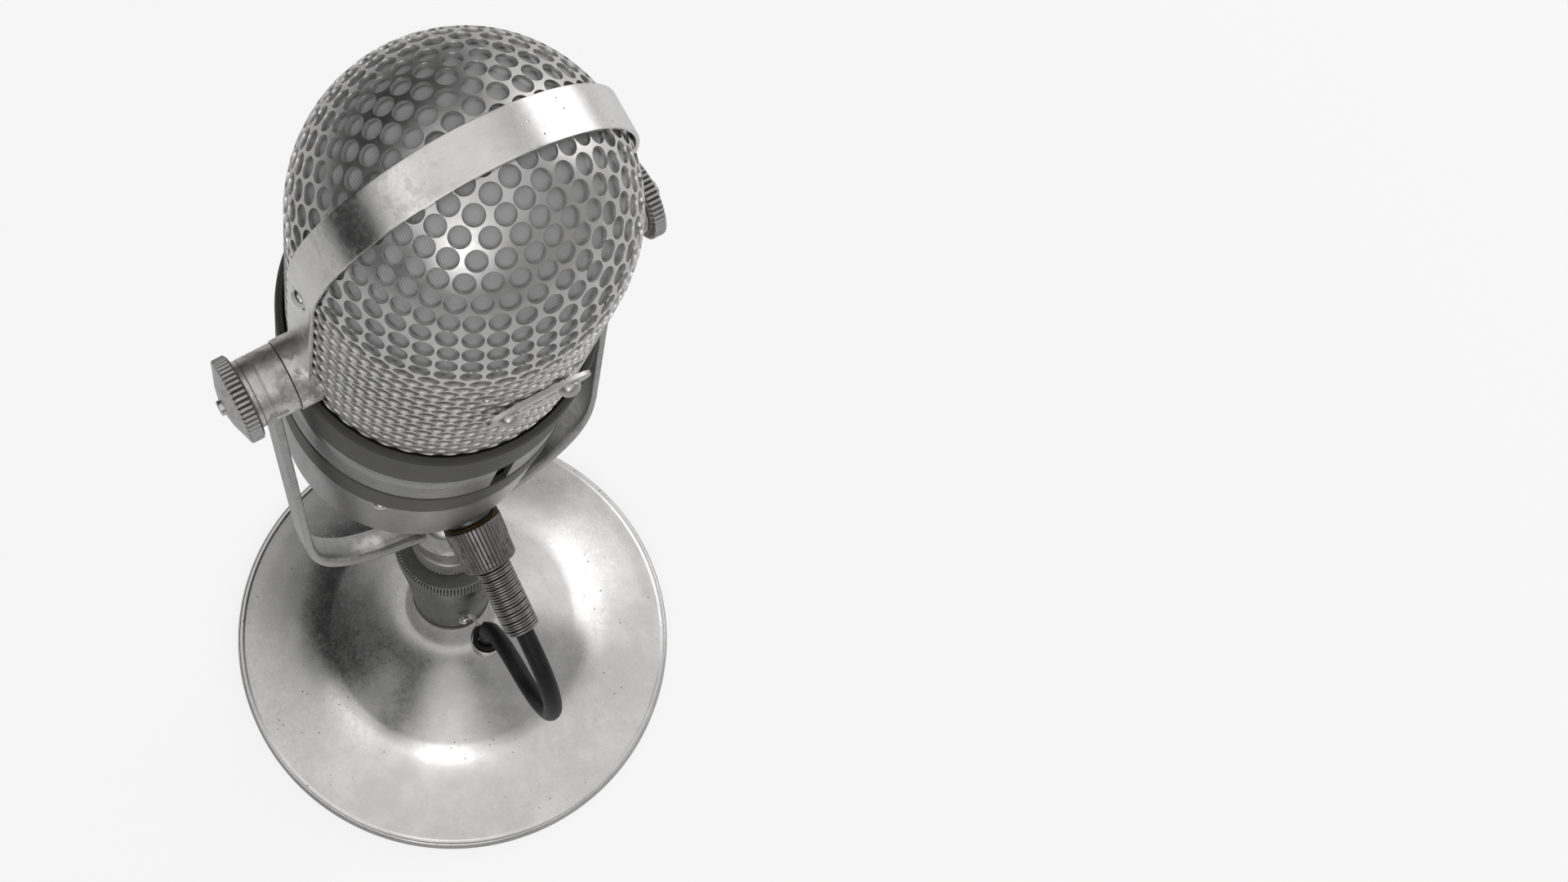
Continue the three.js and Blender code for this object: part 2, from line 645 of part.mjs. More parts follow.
// Ribbon, its clamps, the pole pieces and the magnet that make the sound signal.
function makeMotor() {
  const poleInner = polePieceGap / 2;
  const poleOuter = poleInner + polePieceWidth;
  const clampBottom = ribbonBottomZ - seatGap - clampHeight;
  const parts = [];
  const ribbonShape = new THREE.Shape();
  const pitch = (ribbonTopZ - ribbonBottomZ) / ribbonFolds;
  const wave = (i) => (i % 2 ? 0.35 : -0.35);
  ribbonShape.moveTo(wave(0), ribbonBottomZ);
  for (let i = 1; i <= ribbonFolds; i += 1) {
    ribbonShape.lineTo(wave(i), ribbonBottomZ + i * pitch);
  }
  for (let i = ribbonFolds; i >= 0; i -= 1) {
    ribbonShape.lineTo(wave(i) + ribbonThickness, ribbonBottomZ + i * pitch);
  }
  ribbonShape.closePath();
  const ribbon = new THREE.ExtrudeGeometry(ribbonShape, { depth: ribbonWidth, bevelEnabled: false });
  const upright = ribbon.rotateX(Math.PI / 2).rotateZ(Math.PI / 2).translate(-ribbonWidth / 2, 0, 0);
  parts.push(named("ribbon", upright, materials.foil));
  for (const [name, bottom] of [["bottom", clampBottom], ["top", ribbonTopZ + seatGap]]) {
    const bar = block([-poleOuter, poleOuter], [-3, 3], [bottom, bottom + clampHeight]);
    parts.push(named(`ribbon_clamp_${name}`, bar, materials.brass));
  }
  for (const [name, side] of [["right", 1], ["left", -1]]) {
    const x = [side * poleInner, side * poleOuter].sort((a, b) => a - b);
    const depth = polePieceDepth / 2;
    const pole = block(x, [-depth, depth], [ribbonBottomZ, ribbonTopZ]);
    parts.push(named(`pole_piece_${name}`, pole, materials.darkSteel));
  }
  const deckTop = clampBottom - magnetHeight;
  const canTop = deckTop - deckThickness;
  const deck = disc(grilleRadius - chassisWall - seatGap, canTop, deckTop);
  parts.push(named("magnet", block([-16, 16], [-9, 9], [deckTop, clampBottom]), materials.iron));
  parts.push(named("motor_deck", deck, materials.brass));
  const can = block([-13, 13], [-11, 11], [canTop - transformerHeight, canTop]);
  parts.push(named("transformer", can, materials.iron));
  return parts;
}

// Where the connector sits in the head: its axis leaves backwards and down.
function connectorPlace() {
  return new THREE.Matrix4().makeRotationX(-Math.PI / 2 - connectorDrop)
    .setPosition(0, connectorY, connectorZ);
}

function headPlace() {
  return new THREE.Matrix4().makeRotationX(headTilt).setPosition(0, 0, pivotZ);
}

function makeConnector() {
  const front = receptacleBack + receptacleLength;
  const shellRoom = disc(shellTopRadius + seatGap, shellBottomZ - seatGap, 0, 64);
  const body = disc(receptacleRadius, receptacleBack, front, 32);
  const toHead = connectorPlace();
  const toConnector = toHead.clone().invert();
  const foot = disc(receptacleRadius, shellBottomZ - connectorFootDrop, shellBottomZ + 2, 32)
    .translate(0, connectorFootY, 0);
  const receptacle = cut(
    join(body, foot.applyMatrix4(toConnector)),
    shellRoom.applyMatrix4(toConnector),
  );
  const springBack = front + seatGap;
  return {
    toHead,
    receptacle: named("receptacle", receptacle, materials.nickel),
    spring: named("spring_sleeve", disc(springRadius, springBack, springEnd, 32), materials.steel),
  };
}

function makeCouplingNut() {
  const end = nutStart + nutLength;
  const flange = fluted(nutFlangeRadius, nutFlutes, nutStart, nutStart + nutFlangeLength, 3);
  const barrel = fluted(nutRadius, nutFlutes, nutStart + nutFlangeLength - 0.2, end, 3);
  const bore = disc(receptacleRadius + turnGap, nutStart - 1, end - nutWallEnd, 32);
  const mouth = disc(springRadius + turnGap, nutStart, end + 1, 32);
  return named("coupling_nut", cut(join(flange, barrel), bore, mouth), materials.nickel);
}

// Points of the cord's middle line, from the end of the spring sleeve round to the clip.
function cordPoints() {
  const start = new THREE.Vector3(0, 0, springEnd).applyMatrix4(headPlace().multiply(connectorPlace()));
  const fromSpring = [
    [0.345, -0.164], [3.805, -2.164], [7.905, -4.884], [13.905, -10.184], [18.505, -17.684],
    [20.905, -29.184], [18.905, -41.684],
  ];
  const fromClip = [
    [33.8, 37], [25.3, 33.6], [17.3, 33.2], [9.9, 31], [3.9, 25.4], [0.7, 17.4], [0, 9.4], [0, 1],
  ];
  return [
    ...fromSpring.map(([y, z]) => new THREE.Vector3(0, start.y + y, start.z + z)),
    ...fromClip.map(([y, z]) => new THREE.Vector3(0, clipY + y, clipBottomZ + z)),
  ];
}

function makeCord() {
  const route = new THREE.CatmullRomCurve3(cordPoints(), false, "centripetal");
  const section = new THREE.Shape();
  const sides = 12;
  for (let i = 0; i < sides; i += 1) {
    const angle = (i / sides) * Math.PI * 2;
    const point = [cordRadius * Math.cos(angle), cordRadius * Math.sin(angle)];
    if (i === 0) {
      section.moveTo(...point);
    } else {
      section.lineTo(...point);
    }
  }
  section.closePath();
  const tube = new THREE.ExtrudeGeometry(section, { steps: 24, bevelEnabled: false, extrudePath: route });
  return named("cord", weld(tube), materials.rubber);
}

function makeHead() {
  const head = new THREE.Group();
  head.applyMatrix4(headPlace());
  const connector = makeConnector();
  const outlet = new THREE.Group();
  outlet.applyMatrix4(connector.toHead);
  outlet.add(connector.receptacle, connector.spring, makeCouplingNut());
  const [rightKnob, leftKnob] = makeKnobs();
  head.add(
    ...makeGrille(), makeStrap(), ...makePivots(), ...makeBody(), makeShell(), ...makeShellScrews(),
    ...makeBadge(), ...makeBackPlate(), ...makeMotor(), outlet,
    named("knob_right", rightKnob, materials.nickel), named("knob_left", leftKnob, materials.nickel),
  );
  return head;
}

const microphone = new THREE.Group();
microphone.add(
  ...makeBaseParts(), ...makeColumn(), makeLockRing(), makeYoke(), ...makeBarrels(), ...makeClip(),
  makeCord(), makeHead(),
);

export default microphone;
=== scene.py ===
"""Desk ribbon microphone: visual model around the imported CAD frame.

The mesh helpers take points in millimetres, in the local frame that each call gives. The camera and the
lamps are placed in metres.
"""
import math
import random

import bmesh
import bpy
from mathutils import Matrix, Vector


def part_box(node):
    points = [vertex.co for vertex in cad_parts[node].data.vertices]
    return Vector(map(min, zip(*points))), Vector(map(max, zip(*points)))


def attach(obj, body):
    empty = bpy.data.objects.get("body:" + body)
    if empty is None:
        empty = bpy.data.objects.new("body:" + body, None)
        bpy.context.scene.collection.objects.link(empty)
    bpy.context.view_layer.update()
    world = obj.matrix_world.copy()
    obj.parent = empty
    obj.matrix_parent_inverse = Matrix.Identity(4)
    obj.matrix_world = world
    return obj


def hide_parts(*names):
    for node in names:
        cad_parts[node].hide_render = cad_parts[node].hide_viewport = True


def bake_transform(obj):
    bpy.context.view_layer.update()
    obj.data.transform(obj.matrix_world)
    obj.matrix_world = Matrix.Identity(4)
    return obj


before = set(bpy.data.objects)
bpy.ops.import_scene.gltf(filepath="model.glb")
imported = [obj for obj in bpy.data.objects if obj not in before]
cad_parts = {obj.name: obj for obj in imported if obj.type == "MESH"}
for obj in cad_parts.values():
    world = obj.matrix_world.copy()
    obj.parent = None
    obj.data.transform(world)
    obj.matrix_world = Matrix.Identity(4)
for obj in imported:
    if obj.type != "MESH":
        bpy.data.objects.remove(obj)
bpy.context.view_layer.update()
scene = bpy.context.scene
MM = 0.001
TAU = 2 * math.pi
ROOT = Matrix.Identity(4)

# ---- frames of the moving parts
PIVOT_Z = 325
TILT = -10.1
CONNECTOR_Y, CONNECTOR_Z, CONNECTOR_TURN = 33.5, -130.9, -110


def shift(x, y, z):
    return Matrix.Translation((x * MM, y * MM, z * MM))


def turn(degrees, axis):
    return Matrix.Rotation(math.radians(degrees), 4, axis)


HEAD = shift(0, 0, PIVOT_Z) @ turn(TILT, "X")
CONNECTOR = HEAD @ shift(0, CONNECTOR_Y, CONNECTOR_Z) @ turn(CONNECTOR_TURN, "X")


def along_x(side, base=shift(0, 0, PIVOT_Z)):
    """Local Z runs along +X (side 1) or -X (side -1)."""
    return base @ Matrix.Rotation(side * math.pi / 2, 4, "Y")


def outward(angle, radius, z, base=HEAD):
    """Local Z points outward from the head's axis at that angle, radius and height."""
    return (
        base
        @ Matrix.Rotation(angle, 4, "Z")
        @ Matrix.Translation((radius * MM, 0, z * MM))
        @ Matrix.Rotation(math.pi / 2, 4, "Y")
        @ Matrix.Rotation(math.pi / 2, 4, "Z")
    )


# ---- shader helpers
class Shader:
    """A material's node tree, built by short calls. Sizes are in millimetres."""

    def __init__(self, name, matrix=ROOT):
        self.material = bpy.data.materials.new(name)
        self.material.use_nodes = True
        self.tree = self.material.node_tree
        self.bsdf = self.tree.nodes["Principled BSDF"]
        to_piece = self.node("ShaderNodeMapping")
        inverse = matrix.inverted()
        to_piece.inputs["Location"].default_value = inverse.translation
        to_piece.inputs["Rotation"].default_value = inverse.to_euler()
        self.link(self.node("ShaderNodeTexCoord").outputs["Object"], to_piece.inputs[0])
        self.coordinates = to_piece.outputs[0]

    def node(self, kind, **values):
        made = self.tree.nodes.new(kind)
        for key, value in values.items():
            setattr(made, key, value)
        return made

    def link(self, source, target):
        if isinstance(source, (int, float)):
            target.default_value = source
        elif isinstance(source, tuple):
            target.default_value = source if len(source) == len(target.default_value) else (*source, 1)
        else:
            self.tree.links.new(source, target)

    def math(self, operation, first, second=0.0, clamp=False):
        made = self.node("ShaderNodeMath", operation=operation, use_clamp=clamp)
        self.link(first, made.inputs[0])
        self.link(second, made.inputs[1])
        return made.outputs[0]

    def times(self, first, second):
        return self.math("MULTIPLY", first, second)

    def inverse(self, value):
        """1 minus the value."""
        return self.math("SUBTRACT", 1.0, value)

    def mix(self, factor, first, second):
        made = self.node("ShaderNodeMix", data_type="RGBA")
        self.link(factor, made.inputs[0])
        self.link(first, made.inputs[6])
        self.link(second, made.inputs[7])
        return made.outputs[2]

    def ramp(self, value, low, high):
        """0 below low, 1 above high, smooth between."""
        made = self.node("ShaderNodeMapRange", interpolation_type="SMOOTHSTEP")
        self.link(value, made.inputs[0])
        made.inputs[1].default_value = low
        made.inputs[2].default_value = high
        return made.outputs[0]

    def stretched(self, x, y, z, vector=None):
        made = self.node("ShaderNodeMapping")
        made.inputs["Scale"].default_value = (x, y, z)
        self.link(vector or self.coordinates, made.inputs[0])
        return made.outputs[0]

    def around(self, turn, radial, along):
        """Coordinates (angle, radius, height) about local Z, each with its own scale."""
        split = self.node("ShaderNodeSeparateXYZ")
        self.link(self.coordinates, split.inputs[0])
        angle = self.math("ARCTAN2", split.outputs[1], split.outputs[0])
        squares = [self.math("POWER", split.outputs[i], 2.0) for i in (0, 1)]
        square = self.math("ADD", *squares)
        joined = self.node("ShaderNodeCombineXYZ")
        self.link(self.times(angle, turn), joined.inputs[0])
        self.link(self.times(self.math("SQRT", square), radial), joined.inputs[1])
        self.link(self.times(split.outputs[2], along), joined.inputs[2])
        return joined.outputs[0]

    def noise(self, size, detail=3.0, roughness=0.55, vector=None, offset=0.0):
        made = self.node("ShaderNodeTexNoise", noise_dimensions="4D")
        made.inputs["Scale"].default_value = 1 / (size * MM)
        made.inputs["Detail"].default_value = detail
        made.inputs["Roughness"].default_value = roughness
        made.inputs["W"].default_value = offset
        self.link(vector or self.coordinates, made.inputs["Vector"])
        return made.outputs[0]

    def cells(self, size, vector=None, randomness=1.0):
        made = self.node("ShaderNodeTexVoronoi")
        made.inputs["Scale"].default_value = 1 / (size * MM)
        made.inputs["Randomness"].default_value = randomness
        self.link(vector or self.coordinates, made.inputs["Vector"])
        return made.outputs["Distance"]

    def bump(self, height, depth, normal=None, strength=1.0):
        made = self.node("ShaderNodeBump")
        made.inputs["Strength"].default_value = strength
        made.inputs["Distance"].default_value = depth * MM
        self.link(height, made.inputs["Height"])
        if normal:
            self.link(normal, made.inputs["Normal"])
        return made.outputs[0]

    def finish(self, color, roughness, normal=None, metallic=1.0, **constants):
        self.link(color, self.bsdf.inputs["Base Color"])
        self.link(roughness, self.bsdf.inputs["Roughness"])
        self.bsdf.inputs["Metallic"].default_value = metallic
        if normal:
            self.link(normal, self.bsdf.inputs["Normal"])
        for key, value in constants.items():
            self.bsdf.inputs[key.replace("_", " ")].default_value = value
        return self.material


def grey(value, warm=0.0):
    return (value * (1 + warm), value, value * (1 - warm))


def metal(
    name, matrix, tone, rough, brush=None, stain=0.35, pits=0.5, brush_depth=0.012, warm=0.012, seed=0.0,
    stain_tone=0.3, mottle=0.0, grooves=None, fade=None, brush_tone=0.22, scratches=0.3, blotch_size=2.4,
):
    """Worn plated steel: clouds, brush lines, spots, pits and scratches, with painted shade in its flutes.

    fade is (low, high, tone, roughness): below low the metal has that tone and roughness; on the base this
    paints shade on the rim wall.
    grooves is (count, least radius, sharpness) of the flutes whose bottoms get painted shade.
    """
    s = Shader(name, matrix)

    def patches(size, detail, roughness, number, low, high):
        return s.ramp(s.noise(size, detail, roughness, offset=seed + number), low, high)

    def layer(mask, amount, share, tint=1):
        """Lays a share of the metal's tone over its colour, by that much of the mask."""
        return s.mix(s.times(mask, amount), color, grey(min(1, tone * share), warm * tint))

    cloud = patches(14, 5, 0.6, 0, 0.35, 0.7)
    fine = s.noise(1.1, 4, 0.7, offset=seed + 3)
    if brush == "ring":
        grain = s.noise(1, 3, 0.6, vector=s.around(0.004, 3.2, 3.2), offset=seed)
    elif brush == "x":
        grain = s.noise(1, 3, 0.6, vector=s.stretched(0.06, 2.6, 2.6), offset=seed)
    elif brush == "z":
        grain = s.noise(1, 3, 0.6, vector=s.stretched(2.6, 2.6, 0.06), offset=seed)
    else:
        grain = fine
    spots = patches(2.6, 6, 0.72, 7, 0.6, 0.72)
    spots = s.times(spots, patches(22, 2, 0.55, 9, 0.42, 0.62))
    specks = s.inverse(s.ramp(s.cells(2.9), 0.06, 0.13))
    specks = s.times(specks, patches(9, 2, 0.55, 5, 0.5, 0.6))
    scratch = s.math("ABSOLUTE", s.math("SUBTRACT", s.noise(17, 1, 0.3, offset=seed + 11), 0.5))
    scratch = s.inverse(s.ramp(scratch, 0.0, 0.0022))
    scratch = s.times(scratch, patches(26, 2, 0.55, 13, 0.5, 0.6))
    color = s.mix(cloud, grey(tone * 0.9, warm), grey(tone * 1.06, warm))
    if fade:
        low, high, other, fade_rough = fade
        upper = s.node("ShaderNodeSeparateXYZ")
        s.link(s.coordinates, upper.inputs[0])
        # Below low: a smoother lower finish on the yoke, and painted shade, darker and rougher, on the base's
        # rim wall.
        lower_finish_and_painted_shade = s.inverse(s.ramp(upper.outputs[2], low * MM, high * MM))
        color = s.mix(lower_finish_and_painted_shade, color, grey(other, warm))
    color = layer(s.ramp(grain, 0.3, 0.75), brush_tone, 0.7)
    if mottle:
        blotch = patches(blotch_size, 8, 0.7, 15, 0.48, 0.58)
        blotch = s.times(blotch, patches(15, 3, 0.55, 16, 0.36, 0.6))
        color = layer(blotch, mottle, 0.5, 2)
        pale = patches(3.0, 7, 0.75, 17, 0.5, 0.66)
        color = layer(pale, mottle * 0.6, 1.25)
    color = layer(spots, stain, stain_tone, 3)
    color = layer(specks, pits, 0.22, 2)
    color = layer(scratch, scratches, 1.4)
    if grooves:
        count, least, sharp = grooves
        split = s.node("ShaderNodeSeparateXYZ")
        s.link(s.around(float(count), 1000.0, 1000.0), split.inputs[0])
        wave = s.math("SUBTRACT", 0.5, s.times(s.math("COSINE", split.outputs[0]), 0.5))
        # Painted shade in the flute bottoms, near black where they are deepest.
        flute_shade = s.times(s.math("POWER", wave, sharp), s.ramp(split.outputs[1], least - 0.2, least + 0.2))
        color = s.mix(s.times(flute_shade, 0.9), color, (0.012, 0.010, 0.009))
    roughness = s.math("ADD", s.times(s.ramp(fine, 0.25, 0.8), 0.10), rough - 0.05)
    roughness = s.math("ADD", roughness, s.times(cloud, 0.05))
    roughness = s.math("ADD", roughness, s.times(spots, 0.2), clamp=True)
    if fade:
        roughness = s.math("ADD", roughness, s.times(lower_finish_and_painted_shade, fade_rough - rough))
    if mottle:
        roughness = s.math("ADD", roughness, s.times(blotch, 0.12 * mottle / 0.3), clamp=True)
    normal = s.bump(grain, brush_depth)
    hollows = s.math("MAXIMUM", specks, s.times(spots, 0.4))
    normal = s.bump(s.inverse(hollows), 0.035 * pits + 0.01, normal)
    return s.finish(color, roughness, normal)


def enamel(matrix):
    s = Shader("collar_enamel", matrix)
    fine = s.noise(0.35, 3, 0.6)
    cloud = s.ramp(s.noise(12, 4), 0.35, 0.7)
    rubbed = s.times(s.ramp(s.noise(1.6, 6, 0.75, offset=2), 0.63, 0.7), 0.5)
    color = s.mix(cloud, (0.027, 0.026, 0.021), (0.036, 0.035, 0.028))
    color = s.mix(rubbed, color, (0.11, 0.105, 0.095))
    return s.finish(color, s.math("ADD", 0.46, s.times(fine, 0.16)), s.bump(fine, 0.02), metallic=0.0)


def gauze(matrix):
    """Fine woven wire: threads round and along the wall, and straight across the dome."""
    s = Shader("gauze", matrix)
    count = TAU / (0.46 * MM)
    flat = s.node("ShaderNodeSeparateXYZ")
    s.link(s.coordinates, flat.inputs[0])
    turned = s.node("ShaderNodeSeparateXYZ")
    s.link(s.around(36.5 * MM, 1.0, 1.0), turned.inputs[0])
    over = s.ramp(flat.outputs[2], 78 * MM, 88 * MM)

    def threads(wall, dome):
        first = s.math("SINE", s.times(wall, count))
        second = s.math("SINE", s.times(dome, count))
        return s.math("ADD", s.times(first, s.inverse(over)), s.times(second, over))

    across = threads(turned.outputs[0], flat.outputs[0])
    along = threads(turned.outputs[2], flat.outputs[1])
    weave = s.math("ADD", s.times(across, 0.6), s.times(along, 0.4))
    uneven = s.noise(3.2, 3)
    color = s.mix(s.ramp(weave, -0.9, 0.9), (0.36, 0.36, 0.36), (0.50, 0.50, 0.50))
    color = s.mix(s.times(uneven, 0.35), color, (0.30, 0.30, 0.30))
    # Painted shade: the wall darkens towards its bottom, for the dark inside of the head behind the lower
    # holes.
    low_wall_shade = s.inverse(s.ramp(flat.outputs[2], 40 * MM, 76 * MM))
    color = s.mix(s.times(low_wall_shade, 0.85), color, (0.05, 0.05, 0.05))
    return s.finish(color, 0.6, s.bump(weave, 0.02), metallic=0.2)


def rubber(matrix):
    s = Shader("rubber", matrix)
    fine = s.noise(0.5, 4, 0.6)
    scuff = s.times(s.ramp(s.noise(3.5, 5, 0.7, offset=4), 0.55, 0.72), 0.6)
    color = s.mix(scuff, (0.006, 0.006, 0.006), (0.022, 0.021, 0.02))
    return s.finish(
        color, s.math("ADD", 0.42, s.times(fine, 0.2)), s.bump(fine, 0.02), metallic=0.0,
        Specular_IOR_Level=0.28,
    )


def felt(matrix):
    s = Shader("felt", matrix)
    fibre = s.noise(0.25, 5, 0.75)
    color = s.mix(s.ramp(fibre, 0.3, 0.7), (0.018, 0.018, 0.017), (0.05, 0.048, 0.045))
    return s.finish(color, 0.95, s.bump(fibre, 0.15), metallic=0.0, Sheen_Weight=0.3)


def red_enamel(matrix):
    s = Shader("badge_red", matrix)
    cloud = s.noise(2.5, 4)
    color = s.mix(s.ramp(cloud, 0.3, 0.7), (0.33, 0.028, 0.022), (0.42, 0.045, 0.034))
    return s.finish(color, s.math("ADD", 0.2, s.times(cloud, 0.15)), s.bump(cloud, 0.01), metallic=0.0)


KNOB_FLUTES, LOCK_RING_FLUTES, NUT_FLUTES = 48, 100, 42
METALS = {
    "base_steel": dict(
        tone=0.71, rough=0.25, stain=0.35, pits=1.0, seed=1, mottle=0.1, scratches=0.12,
        # fade paints shade on the rim wall: darker and rougher below the flange.
        fade=(4.4, 5.6, 0.34, 0.42),
    ),
    "grille_steel": dict(tone=0.64, rough=0.33, stain=0.25, pits=0.1, seed=2),
    "strap_steel": dict(
        tone=0.76, rough=0.24, brush="x", stain=0.5, pits=0.9, brush_depth=0.003, seed=21, mottle=0.18,
        scratches=0.3,
    ),
    "shell_steel": dict(
        tone=0.31, rough=0.34, brush="ring", stain=0.6, pits=0.8, seed=3, mottle=0.25, brush_tone=0.6,
        brush_depth=0.02,
    ),
    "nickel": dict(
        tone=0.37, rough=0.33, brush="z", stain=0.5, pits=0.5, brush_depth=0.006, seed=4, mottle=0.3,
        fade=(160, 178, 0.38, 0.26),
    ),
    "patina": dict(
        tone=0.66, rough=0.36, stain=0.95, pits=0.5, seed=5, warm=0.02, stain_tone=0.2, mottle=0.95,
        blotch_size=5.0,
    ),
    "screw_steel": dict(tone=0.62, rough=0.24, stain=0.4, pits=0.2, seed=7),
    "nut_steel": dict(
        tone=0.22, rough=0.42, stain=0.8, pits=0.3, seed=8, warm=0.05, grooves=(NUT_FLUTES, 7.9, 14.0),
        mottle=0.6,
    ),
    "knob_steel": dict(
        tone=0.50, rough=0.33, stain=0.5, pits=0.3, seed=18, grooves=(KNOB_FLUTES, 9.7, 5.0), mottle=0.3,
    ),
    "lock_steel": dict(
        tone=0.22, rough=0.42, stain=0.4, pits=0.3, seed=19, grooves=(LOCK_RING_FLUTES, 17.7, 4.0),
        mottle=0.4,
    ),
    "spring_steel": dict(tone=0.26, rough=0.30, stain=0.6, pits=0.1, seed=9, warm=0.03, mottle=0.3),
    "dark_steel": dict(
        tone=0.135, rough=0.38, brush="ring", stain=0.6, pits=0.5, seed=10, mottle=0.35, brush_tone=0.4,
    ),
    "knurl_steel": dict(tone=0.30, rough=0.33, stain=0.9, pits=0.3, seed=23, warm=0.02, mottle=0.5),
    "plate_steel": dict(tone=0.56, rough=0.33, brush="x", stain=0.5, pits=0.4, seed=22, mottle=0.3),
    "badge_silver": dict(tone=0.62, rough=0.25, stain=0.2, pits=0.1, seed=11),
    "weight_iron": dict(tone=0.08, rough=0.6, stain=0.3, pits=0.6, seed=12),
    "brass": dict(tone=0.45, rough=0.35, stain=0.3, pits=0.2, seed=13, warm=0.35),
    "foil": dict(tone=0.75, rough=0.25, brush="x", stain=0.05, pits=0.0, seed=14),
    "rust": dict(tone=0.03, rough=0.6, stain=0.5, pits=0.5, seed=15, warm=0.6),
}
OTHERS = {"collar_enamel": enamel, "gauze": gauze, "rubber": rubber, "felt": felt, "badge_red": red_enamel}
made_materials = {}


def material_for(name, matrix=ROOT):
    """The material with its pattern laid out in a piece's own frame, made once for each frame."""
    key = (name, tuple(round(v, 5) for row in matrix for v in row))
    if key not in made_materials:
        made_materials[key] = metal(name, matrix, **METALS[name]) if name in METALS else OTHERS[name](matrix)
    return made_materials[key]


# ---- mesh helpers
def added(name, data):
    obj = bpy.data.objects.new(name, data)
    scene.collection.objects.link(obj)
    return obj


def piece(
    name, points, faces, material, body, matrix=ROOT, replaces=(), sharp=35, merge=True,
    grain=None,
):
    """A piece from points in millimetres in its own frame, riding on a body."""
    mesh = bpy.data.meshes.new(name)
    mesh.from_pydata([Vector(p) * MM for p in points], [], faces)
    if merge:
        work = bmesh.new()
        work.from_mesh(mesh)
        bmesh.ops.remove_doubles(work, verts=work.verts, dist=1e-7)
        bmesh.ops.dissolve_degenerate(work, edges=work.edges, dist=1e-8)
        bmesh.ops.recalc_face_normals(work, faces=work.faces)
        work.to_mesh(mesh)
        work.free()
    mesh.transform(matrix)
    mesh.shade_smooth()
    mesh.set_sharp_from_angle(angle=math.radians(sharp))
    obj = added(name, mesh)
    obj.data.materials.append(material_for(material, matrix if grain is None else grain))
    if replaces:
        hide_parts(*replaces)
    if body:
        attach(obj, body)
    return obj


def filleted(profile, steps=5):
    """Outline of (u, v) or (u, v, fillet radius) corners, with each fillet turned into an arc."""
    out = []
    closed = profile[0][:2] == profile[-1][:2]
    corners = profile[:-1] if closed else profile
    count = len(corners)
    for i, corner in enumerate(corners):
        radius = corner[2] if len(corner) > 2 else 0
        here = Vector(corner[:2])
        if not radius or (not closed and i in (0, count - 1)):
            out.append(tuple(here))
            continue
        before = Vector(corners[i - 1][:2]) - here
        after = Vector(corners[(i + 1) % count][:2]) - here
        half = before.angle(after) / 2
        reach = min(radius / math.tan(half), 0.48 * before.length, 0.48 * after.length) if half > 1e-3 else 0
        start, end = here + before.normalized() * reach, here + after.normalized() * reach
        for k in range(steps + 1):
            t = k / steps
            out.append(tuple(start.lerp(here, t).lerp(here.lerp(end, t), t)))
    if closed:
        out.append(out[0])
    return out


def spun(profile, segments=160, reach=None):
    """Points and faces of an outline turned about Z. reach(angle, radius, z) may change each radius."""
    points, faces = [], []
    rows = len(profile)
    for k in range(segments):
        angle = TAU * k / segments
        for radius, z in profile:
            r = reach(angle, radius, z) if reach else radius
            points.append((r * math.cos(angle), r * math.sin(angle), z))
    for k in range(segments):
        here, following = k * rows, (k + 1) % segments * rows
        for i in range(rows - 1):
            faces.append((here + i, following + i, following + i + 1, here + i + 1))
    return points, faces


def lathe(
    name, profile, material, body, matrix=ROOT, replaces=(), segments=160, reach=None, sharp=35,
):
    points, faces = spun(filleted(profile), segments, reach)
    return piece(name, points, faces, material, body, matrix, replaces, sharp)


def spline(points, steps):
    """Centripetal Catmull-Rom curve through points of any dimension."""
    pts = [Vector(p) for p in points]
    pts = [pts[0] * 2 - pts[1]] + pts + [pts[-1] * 2 - pts[-2]]
    out = []
    for i in range(1, len(pts) - 2):
        p0, p1, p2, p3 = pts[i - 1:i + 3]
        t0 = 0.0
        t1 = t0 + max(1e-6, (p1 - p0).length) ** 0.5
        t2 = t1 + max(1e-6, (p2 - p1).length) ** 0.5
        t3 = t2 + max(1e-6, (p3 - p2).length) ** 0.5
        for k in range(steps):
            t = t1 + (t2 - t1) * k / steps
            a1 = p0 * ((t1 - t) / (t1 - t0)) + p1 * ((t - t0) / (t1 - t0))
            a2 = p1 * ((t2 - t) / (t2 - t1)) + p2 * ((t - t1) / (t2 - t1))
            a3 = p2 * ((t3 - t) / (t3 - t2)) + p3 * ((t - t2) / (t3 - t2))
            b1 = a1 * ((t2 - t) / (t2 - t0)) + a2 * ((t - t0) / (t2 - t0))
            b2 = a2 * ((t3 - t) / (t3 - t1)) + a3 * ((t - t1) / (t3 - t1))
            out.append(b1 * ((t2 - t) / (t2 - t1)) + b2 * ((t - t1) / (t2 - t1)))
    out.append(pts[-2].copy())
    return out


def swept(sections, closed_ends=True):
    """Points and faces through a list of equal loops."""
    size = len(sections[0])
    points = [p for loop in sections for p in loop]
    faces = []
    for i in range(len(sections) - 1):
        for k in range(size):
            a, b = i * size + k, i * size + (k + 1) % size
            faces.append((a, b, b + size, a + size))
    if closed_ends:
        faces.append(tuple(range(size - 1, -1, -1)))
        faces.append(tuple(range((len(sections) - 1) * size, len(sections) * size)))
    return points, faces


def merged(*parts):
    points, faces = [], []
    for part_points, part_faces in parts:
        start = len(points)
        points += list(part_points)
        faces += [tuple(i + start for i in face) for face in part_faces]
    return points, faces


def quarter(radius, height, steps, bottom=0):
    """Quarter of an ellipse, from its rim up to the axis."""
    angles = [math.pi / 2 * k / steps for k in range(steps + 1)]
    return [(radius * math.cos(a), bottom + height * math.sin(a)) for a in angles]


def superloop(half_u, half_v, power, count=40):
    """Closed loop between an ellipse (power 2) and a rectangle (high power)."""
    loop = []
    for k in range(count):
        a = TAU * (k + 0.5) / count
        c, s = math.cos(a), math.sin(a)
        u, v = (math.copysign(abs(part) ** (2 / power), part) for part in (c, s))
        loop.append((half_u * u, half_v * v))
    return loop


